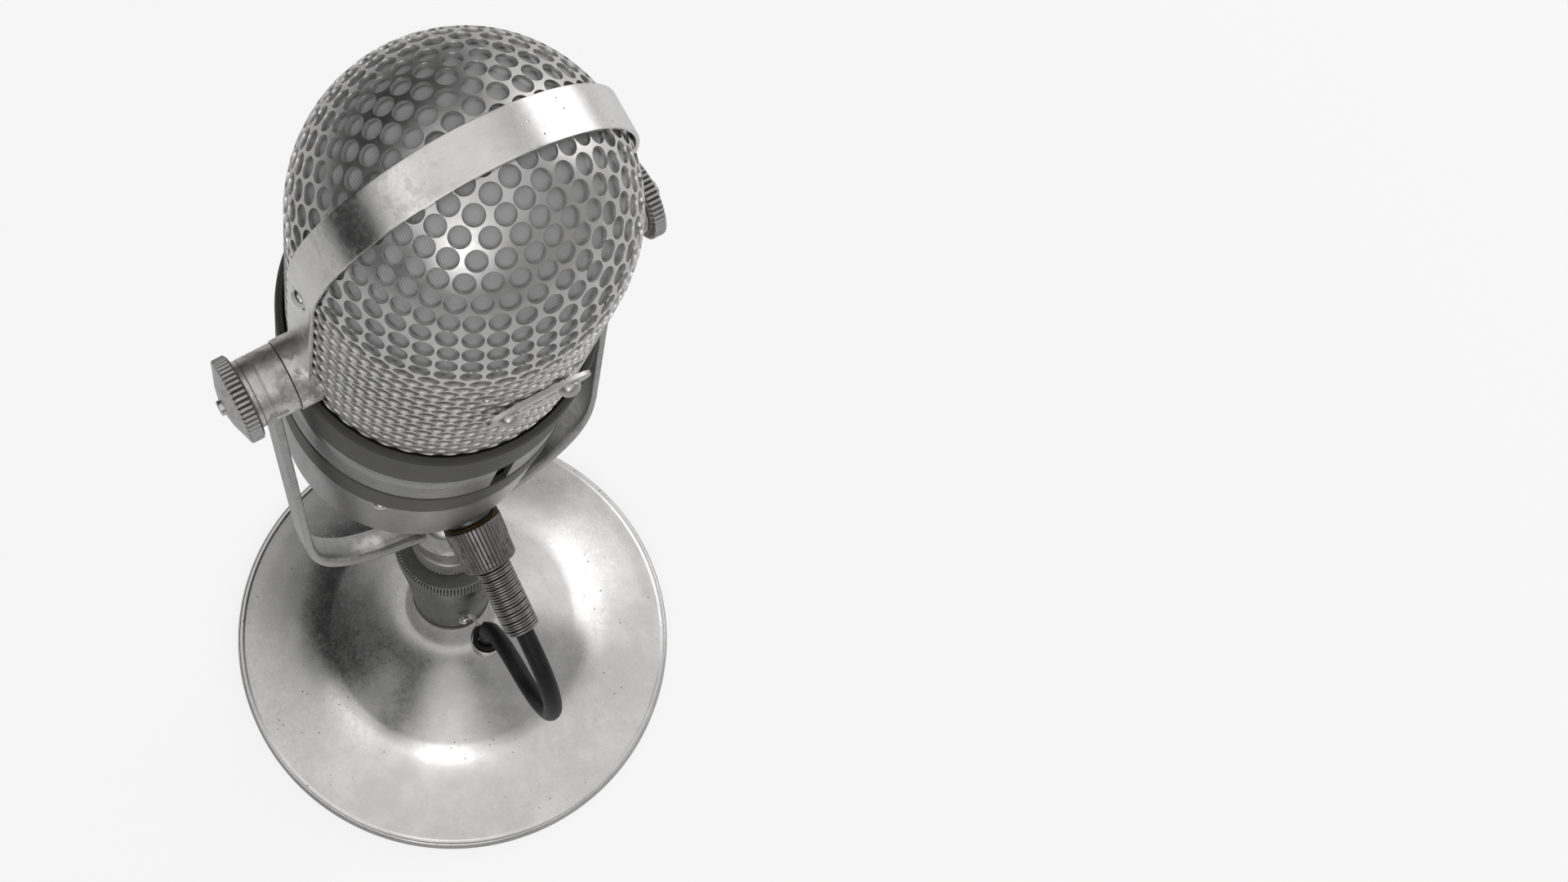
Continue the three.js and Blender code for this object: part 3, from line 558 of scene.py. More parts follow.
def tube(path, radius, sides):
    """Round tube along a path in the YZ plane."""
    up = Vector((1, 0, 0))
    pts = [Vector(p) for p in path]
    sections = []
    for i, p in enumerate(pts):
        tangent = (pts[min(i + 1, len(pts) - 1)] - pts[max(i - 1, 0)]).normalized()
        side = up.cross(tangent).normalized()
        across = tangent.cross(side)
        loop = []
        for k in range(sides):
            a = TAU * k / sides
            loop.append(tuple(p + side * (radius * math.cos(a)) + across * (radius * math.sin(a))))
        sections.append(loop)
    return swept(sections)


def subtract(obj, cutter):
    """Cuts one mesh by another for good, then removes the cutter."""
    change = obj.modifiers.new("cut", "BOOLEAN")
    change.operation = "DIFFERENCE"
    change.solver = "MANIFOLD"
    change.object = cutter
    bpy.context.view_layer.objects.active = obj
    bpy.ops.object.modifier_apply(modifier=change.name)
    bpy.data.objects.remove(cutter, do_unlink=True)


# ---- camera
CAMERA_AT = (0.0933, 0.1830, 0.7820)
CAMERA_AZIMUTH, CAMERA_ELEVATION = 151.01, 71.47
CAMERA_LENS, CAMERA_SHIFT_X, CAMERA_SHIFT_Y = 46.999, 0.19988, 0.03707


def camera():
    """Camera at the viewing angle of the photo's left view."""
    data = bpy.data.cameras.new("camera")
    obj = added("camera", data)
    azimuth, elevation = math.radians(CAMERA_AZIMUTH), math.radians(CAMERA_ELEVATION)
    right = Vector((math.cos(azimuth), math.sin(azimuth), 0))
    flat = math.cos(elevation)
    back = Vector((math.sin(azimuth) * flat, -math.cos(azimuth) * flat, math.sin(elevation)))
    axes = Matrix((right, back.cross(right), back)).transposed().to_4x4()
    obj.matrix_world = Matrix.Translation(CAMERA_AT) @ axes
    data.sensor_width = 36
    data.lens = CAMERA_LENS
    data.shift_x = CAMERA_SHIFT_X
    data.shift_y = CAMERA_SHIFT_Y
    data.clip_start = 0.01
    scene.camera = obj


camera()

# ---- cord, clip
CORD_YZ = [
    (48.44, 168.02), (51.9, 166.02), (56, 163.3), (62, 158), (66.6, 150.5), (69, 139), (67, 126.5),
    (60.5, 117.6),
    (52, 114.2), (44, 113.8), (36.6, 111.6), (30.6, 106), (27.4, 98), (26.7, 90), (26.7, 81.6),
]
CORD_RADIUS = 3
cord_path = spline([(0, y, z) for y, z in CORD_YZ], 10)
cord = piece("cord_cable", *tube(cord_path, CORD_RADIUS, 32), "rubber", None, replaces=("cord",))
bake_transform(cord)

CLIP_Y, CLIP_BOTTOM, CLIP_TOP = 26.7, 80.6, 87.2
CLIP_AT = Matrix.Translation((0, CLIP_Y * MM, 0))
lathe(
    "clip_liner",
    [
        (3.25, CLIP_BOTTOM - 0.4, 0.5), (5.05, CLIP_BOTTOM - 0.4, 0.6), (5.05, CLIP_TOP + 0.5, 0.6),
        (3.25, CLIP_TOP + 0.5, 0.5), (3.25, CLIP_BOTTOM - 0.4),
    ],
    "rubber", "column", CLIP_AT, ("cord_clip_liner",), 96,
)


def clip_band():
    """Bent strip: round the liner, then both ends brought together as the foot against the cup."""
    inner, outer = 5.35, 5.9
    foot_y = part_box("cord_clip")[0].y / MM - CLIP_Y
    middle = (CLIP_TOP + CLIP_BOTTOM) / 2
    height = (CLIP_TOP - CLIP_BOTTOM) / 2
    sections = []
    angles = [math.radians(-78 + 336 * k / 72) for k in range(73)]
    line = [(inner * math.cos(a), inner * math.sin(a), math.cos(a), math.sin(a)) for a in angles]
    for x, y, nx, ny in line:
        loop = []
        for u, v in superloop(0.5, height, 5, 24):
            depth = (u + 0.5) * (outer - inner)
            loop.append((x + nx * depth, y + ny * depth, middle + v))
        sections.append(loop)
    band = swept(sections)
    foot_path = [
        (0.3, -5.1), (0.35, -5.9), (0.6, foot_y + 1.3), (1.3, foot_y + 0.55), (2.4, foot_y + 0.5),
        (5.3, foot_y + 0.5),
    ]
    foot = []
    smooth = spline([(x, y, 0) for x, y in foot_path], 6)
    for i, p in enumerate(smooth):
        tangent = (smooth[min(i + 1, len(smooth) - 1)] - smooth[max(i - 1, 0)]).normalized()
        side = Vector((-tangent.y, tangent.x, 0))
        loop = superloop(0.28, height * 0.96, 6, 24)
        foot.append([(p.x + side.x * u, p.y + side.y * u, middle + v) for u, v in loop])
    return merged(band, swept(foot))


piece("clip_strip", *clip_band(), "screw_steel", "column", CLIP_AT, ("cord_clip",), 40)


# ---- screws
def dome_screw(name, matrix, body, replaces, radius, height, slot_turn=0.4, material="screw_steel"):
    """Screw head made dense enough for a clean slot, by a real cut."""
    rows = [(0, -0.35), (radius - 0.08, -0.35), (radius, -0.2)]
    rows += quarter(radius, height, 10)
    obj = piece(name, *spun(rows, 64), material, None, matrix, replaces, 40, grain=ROOT)
    wide = radius * 0.17
    long = radius * 1.3
    heights = (height * 0.45, height + 1)
    box = [(x, y, z) for x in (-long, long) for y in (-wide, wide) for z in heights]
    faces = [(0, 1, 3, 2), (4, 6, 7, 5), (0, 4, 5, 1), (2, 3, 7, 6), (0, 2, 6, 4), (1, 5, 7, 3)]
    cutter = piece(
        name + "_slot", box, faces, material, None, matrix @ Matrix.Rotation(slot_turn, 4, "Z"),
        grain=ROOT,
    )
    subtract(obj, cutter)
    obj.data.set_sharp_from_angle(angle=math.radians(40))
    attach(obj, body)
    return obj


def node_centre(name):
    low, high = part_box(name)
    return (low + high) / 2


CLIP_SCREW_R, CLIP_SCREW_HEIGHT = 1.7, 1.2
screw_centre = node_centre("cord_clip_screw")
screw_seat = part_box("cord_clip_screw")[1].y - CLIP_SCREW_HEIGHT * MM
screw_at = Matrix.Translation((screw_centre.x, screw_seat, screw_centre.z)) @ turn(-90, "X")
dome_screw("clip_screw", screw_at, "column", ("cord_clip_screw",), CLIP_SCREW_R, CLIP_SCREW_HEIGHT)

# ---- base
BASE_TOP = [
    (81.6, 6.2), (75, 7.4), (66, 9.4), (58, 11.6), (52, 13.9), (48, 16.2), (45, 18.4), (36, 25.6), (27, 33.3),
    (20.4, 39.8),
    (17, 44.4), (15, 49.5), (13.8, 55.5), (13.2, 62),
]


def base_profile():
    top = [(p.x, p.y) for p in spline([(r, z, 0) for r, z in BASE_TOP], 10)]
    rim = [
        (81.4, 0.8), (83.3, 0.8, 0.3), (84, 1.5, 0.5), (83.85, 3.2), (84, 5.0, 0.9), (83.1, 5.95, 0.8),
        (82.3, 5.75, 0.3),
    ]
    under = [(r - 1.6, z - 2.2) for r, z in BASE_TOP[::-1]]
    neck = [(5.9, 62), (5.9, 56), (11.2, 56)]
    return filleted(rim, 6) + top + neck + under + [(81.4, 3.4), (81.4, 0.8)]


piece("base_shell", *spun(base_profile(), 288), "base_steel", "stand", replaces=("base",), sharp=50)
lathe(
    "base_pad", [(30, 0), (78.1, 0, 0.3), (78.1, 0.8), (30, 0.8), (30, 0)], "felt", "stand",
    replaces=("base_felt",),
)
lathe(
    "seat_ring", [(5.9, 62), (14.1, 62, 0.4), (14.1, 63.4, 0.4), (5.9, 63.4), (5.9, 62)], "dark_steel",
    "stand", replaces=("neck_ring",),
)

# ---- column
lathe(
    "cup_turned",
    [
        (5.9, 63.7), (13.1, 63.7, 0.4), (13.7, 64.6, 0.4), (13.75, 66.4, 0.15), (13.4, 66.6, 0.1),
        (13.4, 66.9, 0.1), (13.85, 67.2, 0.15),
        (16, 97.7, 40), (17.6, 112.7, 8), (17.6, 118.8, 0.5), (17.1, 119.7, 0.4), (8.3, 119.7), (8.3, 112.3),
        (5.9, 112.3), (5.9, 63.7),
    ],
    "dark_steel", "column", replaces=("cup",),
)


def flutes(count, depth, low, high, least, sharpness=3.0):
    """Radius change for straight flutes between two heights, on the outer skin only."""
    def reach(angle, radius, z):
        if radius < least or not low <= z <= high:
            return radius
        groove = 0.5 - 0.5 * math.cos(count * angle)
        return radius - depth * groove ** sharpness
    return reach


lock_ring_flutes = flutes(LOCK_RING_FLUTES, 0.38, 121.6, 128, 17.55, 3.5)
lathe(
    "lock_ring_fluted",
    [
        (8.4, 120), (17.5, 120, 0.3), (17.7, 121.4, 0.1), (18.5, 121.7, 0.2), (18.7, 122.1), (18.7, 123.4),
        (18.7, 124.8), (18.7, 126.2),
        (18.7, 127), (18.45, 127.5), (18.1, 127.85), (17.6, 128), (17.2, 128), (13.2, 128, 0.3), (8.4, 128),
        (8.4, 120),
    ],
    "lock_steel", "lock_ring", replaces=("lock_ring",), segments=1200, reach=lock_ring_flutes, sharp=60,
)


def knurl(angle, radius, z):
    if radius < 12.4 or not 129.2 < z < 137.0:
        return radius
    pitch = TAU / 70
    first = abs(((angle + z * 0.085) / pitch) % 1 - 0.5) * 2
    second = abs(((angle - z * 0.085) / pitch) % 1 - 0.5) * 2
    return radius - 0.45 + 0.45 * min(1.0, 1.3 * min(first, second) + 0.05)


knurl_foot = [(8.3, 128.3), (12.2, 128.3), (12.6, 128.6)]
knurl_rows = [(12.95, 128.9 + 8.4 * k / 70) for k in range(71)]
knurl_head = [(12.6, 137.6), (12.1, 137.9), (8.3, 137.9), (8.3, 128.3)]
piece(
    "knurled_collar",
    *spun(knurl_foot + knurl_rows + knurl_head, 840, knurl),
    "knurl_steel", "column", replaces=("knurled_ring",), sharp=70,
)


def stud():
    low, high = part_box("threaded_stud")
    low, high = low.z / MM, high.z / MM
    crest, root, steps = 7.95, 7.45, 60
    thread = [(crest if k % 2 else root, low + (high - low) * k / steps) for k in range(steps + 1)]
    return spun([(0, low)] + thread + [(0, high)], 72)


piece("stud_thread", *stud(), "screw_steel", "column", replaces=("threaded_stud",), sharp=80)


# ---- yoke
def yoke():
    """Bar from each barrel down the arm and round to the hub, rounder towards the hub."""
    outer = [
        (49.4, 317), (49.4, 290), (49.4, 250), (49.4, 215), (49.3, 203), (48.2, 190), (44.4, 178),
        (37, 167.5), (27, 160), (14, 154.2), (6, 152.9),
    ]
    inner = [
        (47, 317), (47, 290), (47, 250), (47, 215), (46.8, 204), (45.3, 192.5), (41.2, 182), (34.4, 172.8),
        (25, 165.8), (13, 161.0), (6, 160.3),
    ]
    width = [4.1, 4.15, 4.3, 4.45, 4.5, 4.5, 4.5, 4.5, 4.6, 4.9, 5.6]
    power = [7, 7, 7, 6.5, 6, 5, 4, 3.2, 2.8, 2.5, 2.3]
    rail = spline([(a[0], a[1], b[0]) for a, b in zip(outer, inner)], 8)
    second = spline([(b[1], w, p) for b, w, p in zip(inner, width, power)], 8)
    sections = {1: [], -1: []}
    for (ox, oz, ix), (iz, w, p) in zip(rail, second):
        middle = Vector(((ox + ix) / 2, 0, (oz + iz) / 2))
        half = Vector(((ox - ix) / 2, 0, (oz - iz) / 2))
        for side in (1, -1):
            loop = []
            for u, v in superloop(1, w, p, 44):
                q = middle + half * u
                loop.append((q.x * side, v, q.z))
            sections[side].append(loop if side == 1 else loop[::-1])
    return [swept(sections[1]), swept(sections[-1])]


HUB_BOTTOM = 138.2
hub_profile = filleted([
    (8.3, HUB_BOTTOM), (11.4, HUB_BOTTOM, 0.4), (11.9, 139, 0.6), (11.9, 142.8, 1.5), (12.6, 146, 4),
    (13.3, 151.5, 5), (13, 156, 5), (10.6, 161, 5), (6.4, 163.6, 4), (0, 164.2),
], 8)
hub = spun(hub_profile + [(0, 150.2), (8.3, 150.2), (8.3, HUB_BOTTOM)], 128)
arms = yoke()
piece("yoke_forged", *merged(arms[0], arms[1], hub), "nickel", "column", replaces=("yoke",), sharp=50)

# ---- pivots and knobs
for side, word in ((1, "right"), (-1, "left")):
    at = along_x(side)
    lathe(
        "barrel_" + word + "_turned",
        [
            (4.3, 43), (8.8, 43, 0.1), (8.8, 46), (8.8, 49.1, 0.1), (8.6, 49.25, 0.05), (8.6, 49.45, 0.05),
            (8.8, 49.6, 0.1), (8.8, 52.15, 0.1), (4.3, 52.15), (4.3, 43),
        ],
        "patina", "column", at, ("barrel_" + word,), 128,
    )
    lathe(
        "washer_" + word + "_turned",
        [(4.3, 52.25), (8.7, 52.25, 0.1), (8.7, 53.45, 0.1), (4.3, 53.45), (4.3, 52.25)], "patina", "column",
        at, ("washer_" + word,), 96,
    )
    knob_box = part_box("knob_" + word)
    back = (knob_box[0].x if side == 1 else -knob_box[1].x) / MM
    rim = back + 3.7
    knob_flutes = flutes(KNOB_FLUTES, 0.55, back, rim + 0.05, 9.9, 2.2)
    lathe(
        "knob_" + word + "_fluted",
        [
            (4.3, back), (10.2, back, 0.2), (11.05, back + 0.5, 0.15), (11.05, rim - 0.25, 0.1),
            (10.75, rim, 0.1), (10.3, rim + 0.12, 0.1),
            (5.6, rim + 1.75, 1), (3.6, rim + 2.15, 0.4), (2.9, rim + 2.3, 0.2), (2.15, rim + 2.3, 0.1),
            (2.15, rim + 1.6), (2.15, rim - 1.4), (4.3, rim - 1.4), (4.3, back),
        ],
        "knob_steel", "knob_" + word, at, ("knob_" + word,), 640, knob_flutes, 60,
    )
    lathe(
        "boss_" + word + "_turned",
        [(4.1, 37.2), (9.2, 37.2), (9.2, 42.75, 0.15), (4.1, 42.85), (4.1, 37.2)],
        "patina", "head", along_x(side, HEAD), ("boss_" + word,), 128,
    )
    pin_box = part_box("pivot_pin_" + word)
    ends = sorted(abs(v.x) / MM for v in pin_box)
    lathe(
        "pin_" + word + "_turned",
        [
            (0, ends[0]), (3.95, ends[0], 0.2), (3.95, 53.3, 0.2), (2, 53.4), (2, ends[1] - 0.1, 0.5),
            (1.5, ends[1], 0.4), (0, ends[1]),
        ],
        "screw_steel", "head", along_x(side, HEAD), ("pivot_pin_" + word,), 64,
    )

# ---- head: grille
GRILLE_R, GRILLE_WALL, DOME_H, DOME_Z, GRILLE_BOTTOM = 38.1, 0.9, 41.5, 66.8, -22
HOLE_R, PITCH = 2.34, 5.4


def head_profile(radius, height, bottom, steps=48):
    """From the bottom of the wall, up and over to the pole."""
    rows = [(radius, bottom + (DOME_Z - bottom) * k / 24) for k in range(24)]
    return rows + quarter(radius, height, steps, DOME_Z)


def on_head(x, y, z):
    """Nearest place on the grille's outside and its outward direction, for a point near it."""
    if z <= DOME_Z:
        flat = math.hypot(x, y)
        return Vector((x / flat * GRILLE_R, y / flat * GRILLE_R, z)), Vector((x / flat, y / flat, 0))
    p = Vector((x / GRILLE_R, y / GRILLE_R, (z - DOME_Z) / DOME_H)).normalized()
    place = Vector((p.x * GRILLE_R, p.y * GRILLE_R, DOME_Z + p.z * DOME_H))
    return place, Vector((p.x / GRILLE_R, p.y / GRILLE_R, p.z / DOME_H)).normalized()


def hole_places():
    """Staggered rows up the wall, then an even spread over the dome that carries the rows on."""
    import numpy as np
    draw = random.Random(7)
    around = round(TAU * GRILLE_R / PITCH)
    rise = PITCH * math.sqrt(3) / 2
    fixed, free = [], []
    z, row = -5.4, 0
    while z < DOME_Z - 6:
        for k in range(around):
            angle = TAU * (k + 0.5 * (row % 2)) / around
            fixed.append((GRILLE_R * math.cos(angle), GRILLE_R * math.sin(angle), z))
        z += rise
        row += 1
    arc = z - DOME_Z
    table = [(0.0, 0.0)]
    for k in range(1, 901):
        a = math.pi / 2 * k / 900
        speed = math.hypot(GRILLE_R * math.sin(a), DOME_H * math.cos(a))
        table.append((table[-1][0] + speed * math.pi / 1800, a))
    while arc < table[-1][0] - 1.5:
        a = 0.0 if arc < 0 else min(table, key=lambda pair: abs(pair[0] - arc))[1]
        r = GRILLE_R * math.cos(a)
        height = z if arc < 0 else DOME_Z + DOME_H * math.sin(a)
        count = max(1, round(TAU * r / PITCH))
        turn = 0.5 * (row % 2) + 0.13 * (row if arc > 0 else 0)
        for k in range(count):
            angle = TAU * (k + turn) / count + draw.uniform(-0.02, 0.02)
            free.append((r * math.cos(angle), r * math.sin(angle), height))
        arc += rise
        z += rise
        row += 1
    fixed_points, points = np.array(fixed), np.array(free)
    near = fixed_points[fixed_points[:, 2] > DOME_Z - 24]
    for step in range(160):
        everyone = np.vstack([points, near])
        apart = points[:, None, :] - everyone[None, :, :]
        distance = np.sqrt((apart ** 2).sum(2)) + 1e-9
        push = np.where(distance < PITCH * 1.32, (PITCH * 1.32 - distance) / distance, 0.0)
        push[distance < 1e-6] = 0
        move = (apart * push[:, :, None]).sum(1) * 0.16
        points = points + move
        for i, p in enumerate(points):
            points[i] = on_head(*p)[0]
    return [tuple(p) for p in fixed] + [tuple(p) for p in points]


def grille():
    outer = head_profile(GRILLE_R, DOME_H, GRILLE_BOTTOM)
    inner = head_profile(GRILLE_R - GRILLE_WALL, DOME_H - GRILLE_WALL, GRILLE_BOTTOM)[::-1]
    body = piece(
        "grille_perforated", *spun(outer + inner + [outer[0]], 176), "grille_steel", None, HEAD, ("grille",),
        30,
    )
    lip = [
        (HOLE_R, -2.2), (HOLE_R, -0.16), (HOLE_R + 0.04, -0.07), (HOLE_R + 0.12, 0.01), (HOLE_R + 0.4, 0.14),
        (HOLE_R + 0.4, 1.2),
    ]
    points, faces = [], []
    sides = 28
    for x, y, z in hole_places():
        place, out = on_head(x, y, z)
        across = out.orthogonal().normalized()
        other = out.cross(across)
        start = len(points)
        for radius, depth in lip:
            for k in range(sides):
                a = TAU * k / sides
                point = place + out * depth + across * (radius * math.cos(a))
                points.append(tuple(point + other * (radius * math.sin(a))))
        for i in range(len(lip) - 1):
            for k in range(sides):
                a, b = start + i * sides + k, start + i * sides + (k + 1) % sides
                faces.append((a, b, b + sides, a + sides))
        faces.append(tuple(range(start + sides - 1, start - 1, -1)))
        last = start + (len(lip) - 1) * sides
        faces.append(tuple(range(last, last + sides)))
    cutter = piece("grille_holes", points, faces, "grille_steel", None, HEAD, merge=False)
    subtract(body, cutter)
    body.data.shade_smooth()
    body.data.set_sharp_from_angle(angle=math.radians(32))
    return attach(body, "head")


grille()
lining_outer = head_profile(36.6, 40.0, GRILLE_BOTTOM + 0.3, 32)
lining_inner = head_profile(36.1, 39.5, GRILLE_BOTTOM + 0.3, 32)[::-1]
piece(
    "gauze_lining", *spun(lining_outer + lining_inner + [lining_outer[0]], 128), "gauze", "head", HEAD,
    ("grille_lining",),
)


# ---- head: strap
STRAP_SCREW_X, STRAP_SCREW_Z = 39.1, 64
STRAP_SCREW_HEAD = HEAD @ shift(0, 0, STRAP_SCREW_Z)


def strap():
    gap, thickness = 0.3, 1.0
    line = []
    for k in range(14):
        line.append((GRILLE_R + gap + thickness / 2, -6.3 + (DOME_Z + 6.3) * k / 14, 1.0, 0.0))
    for k in range(97):
        a = math.pi * k / 96
        n = Vector((math.cos(a) / GRILLE_R, math.sin(a) / DOME_H)).normalized()
        place = Vector((GRILLE_R * math.cos(a), DOME_Z + DOME_H * math.sin(a))) + n * (gap + thickness / 2)
        line.append((place.x, place.y, n.x, n.y))
    for k in range(14):
        x, z, nx, nz = line[13 - k]
        line.append((-x, z, -nx, nz))
    sections = []
    for x, z, nx, nz in line:
        loop = []
        for u, v in superloop(thickness / 2, 5.25, 14, 44):
            loop.append((x + nx * u, v, z + nz * u))
        sections.append(loop)
    return swept(sections)


strap_object = piece("strap_band", *strap(), "strap_steel", None, HEAD, ("strap",), 40)
for side in (1, -1):
    well_shape = spun([(0, 38), (2.95, 38), (3.0, 39.2), (3.2, 39.5), (3.2, 42), (0, 42)], 48)
    well = piece("strap_well", *well_shape, "rust", None, along_x(side, STRAP_SCREW_HEAD))
    subtract(strap_object, well)
strap_object.data.set_sharp_from_angle(angle=math.radians(40))
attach(strap_object, "head")
for side, word in ((1, "right"), (-1, "left")):
    at = HEAD @ shift(side * STRAP_SCREW_X, 0, STRAP_SCREW_Z) @ turn(side * 90, "Y")
    dome_screw("strap_" + word + "_screw_head", at, "head", ("strap_screw_" + word,), 2.3, 1.5, 1.1)
    # A dark ring on the floor of each screw well: painted shade round the screw head.
    lathe(
        "strap_" + word + "_screw_well_shade",
        [(2.2, 38.15), (2.95, 38.15), (2.95, 38.55, 0.1), (2.2, 38.4), (2.2, 38.15)], "rust", "head",
        along_x(side, STRAP_SCREW_HEAD), (), 48,
    )

# ---- head: collars, band, shell
BAND_TOP, BAND_BOTTOM, SHELL_TOP = -32.1, -57.6, -78.1
BAND_R, BAND_GAP = 40.3, 5.2
lathe(
    "collar_top",
    [
        (38.6, BAND_TOP), (40.4, BAND_TOP, 0.3), (40.6, -31.6, 0.3), (40.6, -8.4, 1.2), (39.95, -7.0, 0.5),
        (39.75, -6.95, 0.05), (39.6, -6.75, 0.1), (38.8, -6.6, 0.3), (38.45, -7.0, 0.2), (38.35, -8.2),
        (38.6, BAND_TOP),
    ],
    "collar_enamel", "head", HEAD, ("collar_upper",), 224,
)
lathe(
    "collar_bottom",
    [
        (38.6, SHELL_TOP), (40.2, SHELL_TOP, 0.4), (40.6, -77.4, 0.4), (40.6, -58.3, 0.4),
        (40.3, BAND_BOTTOM, 0.3), (38.6, BAND_BOTTOM), (38.6, SHELL_TOP),
    ],
    "collar_enamel", "head", HEAD, ("collar_lower",), 224,
)


def name_band():
    """Band with engraved lines and a gap at the back."""
    top, bottom, outer, inner = BAND_TOP, BAND_BOTTOM, BAND_R, 38.6
    rows = [(outer - 0.35, bottom)]
    lines = [-52.6, -50.3, -48.0, -45.7, -43.4]
    edges = [(outer - 0.1, bottom + 0.08), (outer, bottom + 0.3)]
    for line in lines:
        edges += [
            (outer, line - 0.3), (outer - 0.22, line - 0.08), (outer - 0.22, line + 0.08),
            (outer, line + 0.3),
        ]
    edges += [(outer, top - 0.3), (outer - 0.1, top - 0.08), (outer - 0.35, top)]
    loop = rows + edges + [(inner, top), (inner, bottom)]
    first = math.pi / 2 + BAND_GAP / 2 / BAND_R
    last = math.pi / 2 + TAU - BAND_GAP / 2 / BAND_R
    sections = []
    count = 260
    for k in range(count + 1):
        t = k / count
        section = []
        for radius, z in loop:
            angle = first + (last - first) * t
            section.append((radius * math.cos(angle), radius * math.sin(angle), z))
        sections.append(section)
    return swept(sections)


piece("band_engraved", *name_band(), "shell_steel", "head", HEAD, ("name_band",), 25)
lathe(
    "shell_spun",
    [
        (38.9, SHELL_TOP), (40.1, SHELL_TOP, 0.25), (40.3, -78.6, 0.3), (39.8, -126.4, 3.2), (20, -126.4),
        (0, -126.4), (0, -125.1), (38.4, -125.1, 2), (38.9, SHELL_TOP),
    ],
    "shell_steel", "head", HEAD, ("shell",), 224,
)
for number in range(1, 5):
    centre = HEAD.inverted() @ node_centre("shell_screw_%d" % number)
    angle = math.atan2(centre.y, centre.x)
    at = outward(angle, 40.35, centre.z / MM)
    dome_screw(
        "shell_screw_%d_head" % number, at, "head", ("shell_screw_%d" % number,), 1.9, 1.1, 0.3 * number,
    )


# ---- badge and back plate
def wrapped(outline_points, radius, z):
    """Flat outline (x, height) laid round the head's front at that radius."""
    return [(radius * math.sin(x / radius), -radius * math.cos(x / radius), z + h) for x, h in outline_points]


def oval(half_x, half_z, count=72):
    return [(half_x * math.cos(TAU * k / count), half_z * math.sin(TAU * k / count)) for k in range(count)]


def badge():
    z = -42
    rings = [
        (9, 12.8, 40.6), (9, 12.8, 41.7), (8.7, 12.5, 42.1), (8.1, 11.9, 42.1), (7.8, 11.6, 41.8),
        (7.8, 11.6, 40.9),
    ]
    sections = [wrapped(oval(a, b), r, z) for a, b, r in rings]
    sections.append(sections[0])
    rim = swept(sections, False)
    face_rings = [
        (7.75, 11.55, 40.9), (7.75, 11.55, 41.45), (7.5, 11.3, 41.6), (5, 7.6, 41.72), (2.5, 3.8, 41.78),
        (0.2, 0.3, 41.8),
    ]
    face = swept([wrapped(oval(a, b), r, z) for a, b, r in face_rings])
    piece("badge_bezel", *rim, "badge_silver", "head", HEAD, ("badge_rim",), 40)
    piece("badge_enamel", *face, "badge_red", "head", HEAD, ("badge_face",), 40)
    bars = []
    for height, half in ((3.6, 3.2), (1.2, 4.6), (-1.2, 4.6), (-3.6, 3.2)):
        outline = [(half * c, height + 0.5 * s) for c, s in superloop(1, 1, 5, 40)]
        cap = [(x * 0.96, height + (h - height) * 0.7) for x, h in outline]
        bars.append(swept([wrapped(outline, 41.5, z), wrapped(outline, 41.98, z), wrapped(cap, 42.08, z)]))
    piece("badge_bars", *merged(*bars), "badge_silver", "head", HEAD, (), 40)


badge()


def back_plate():
    """Lozenge plate with rounded tips, domed screws and plain pressed marks."""
    centre_z, half_x, half_z = 40, 13.5, 5.6
    outline = []
    for k in range(120):
        a = TAU * k / 120
        c, s = math.cos(a), math.sin(a)
        outline.append((half_x * math.copysign(abs(c) ** 1.15, c), half_z * s))

    def level(y, shrink):
        return [(x * (1 - shrink / half_x), y, centre_z + h * (1 - shrink / half_z)) for x, h in outline]

    plate = piece(
        "maker_plate", *swept([level(38.4, 0), level(39.35, 0), level(39.55, 0.2), level(39.6, 0.45)]),
        "plate_steel", None, HEAD, ("back_plate",), 40,
    )
    marks = []
    for x, z, long_x, long_z in ((-3.0, 40.6, 1.5, 0.8), (0.3, 40.2, 1.3, 0.9), (3.3, 40.4, 1.2, 0.7)):
        loop = [(x + long_x * u, 0, z + long_z * v) for u, v in superloop(1, 1, 3, 24)]
        marks.append(swept([[(p[0], 38.8, p[2]) for p in loop], [(p[0], 40.2, p[2]) for p in loop]]))
    cutter = piece("plate_marks", *merged(*marks), "dark_steel", None, HEAD)
    subtract(plate, cutter)
    plate.data.set_sharp_from_angle(angle=math.radians(40))
    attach(plate, "head")
    for side, word in ((1, "right"), (-1, "left")):
        centre = HEAD.inverted() @ node_centre("plate_screw_" + word)
        at = HEAD @ Matrix.Translation((centre.x, 39.75 * MM, centre.z)) @ turn(-90, "X")
        rows = [(0, -0.3), (2.6, -0.3)] + quarter(2.65, 2.3, 12)
        piece(
            "plate_" + word + "_rivet", *spun(rows, 64), "plate_steel", "head", at, ("plate_screw_" + word,),
            40,
        )


back_plate()
rivet_at = outward(math.atan2(36.7, 12.8), GRILLE_R, 53)
rivet_cap = [(1.35 * math.cos(a), 0.1 + 0.8 * math.sin(a)) for a in (0.3, 0.6, 0.9, 1.2, 1.57)]
piece(
    "grille_rivet", *spun([(0, -1.2), (1.3, -1.2), (1.35, 0.1)] + rivet_cap, 48),
    "screw_steel", "head", rivet_at, (), 40, grain=ROOT,
)

# ---- connector
lathe(
    "receptacle_turned",
    [(0, -4), (7.4, -4, 0.2), (7.4, 8.3, 0.3), (7.1, 8.5, 0.2), (0, 8.5)],
    "dark_steel", "head", CONNECTOR, ("receptacle",), 96,
)


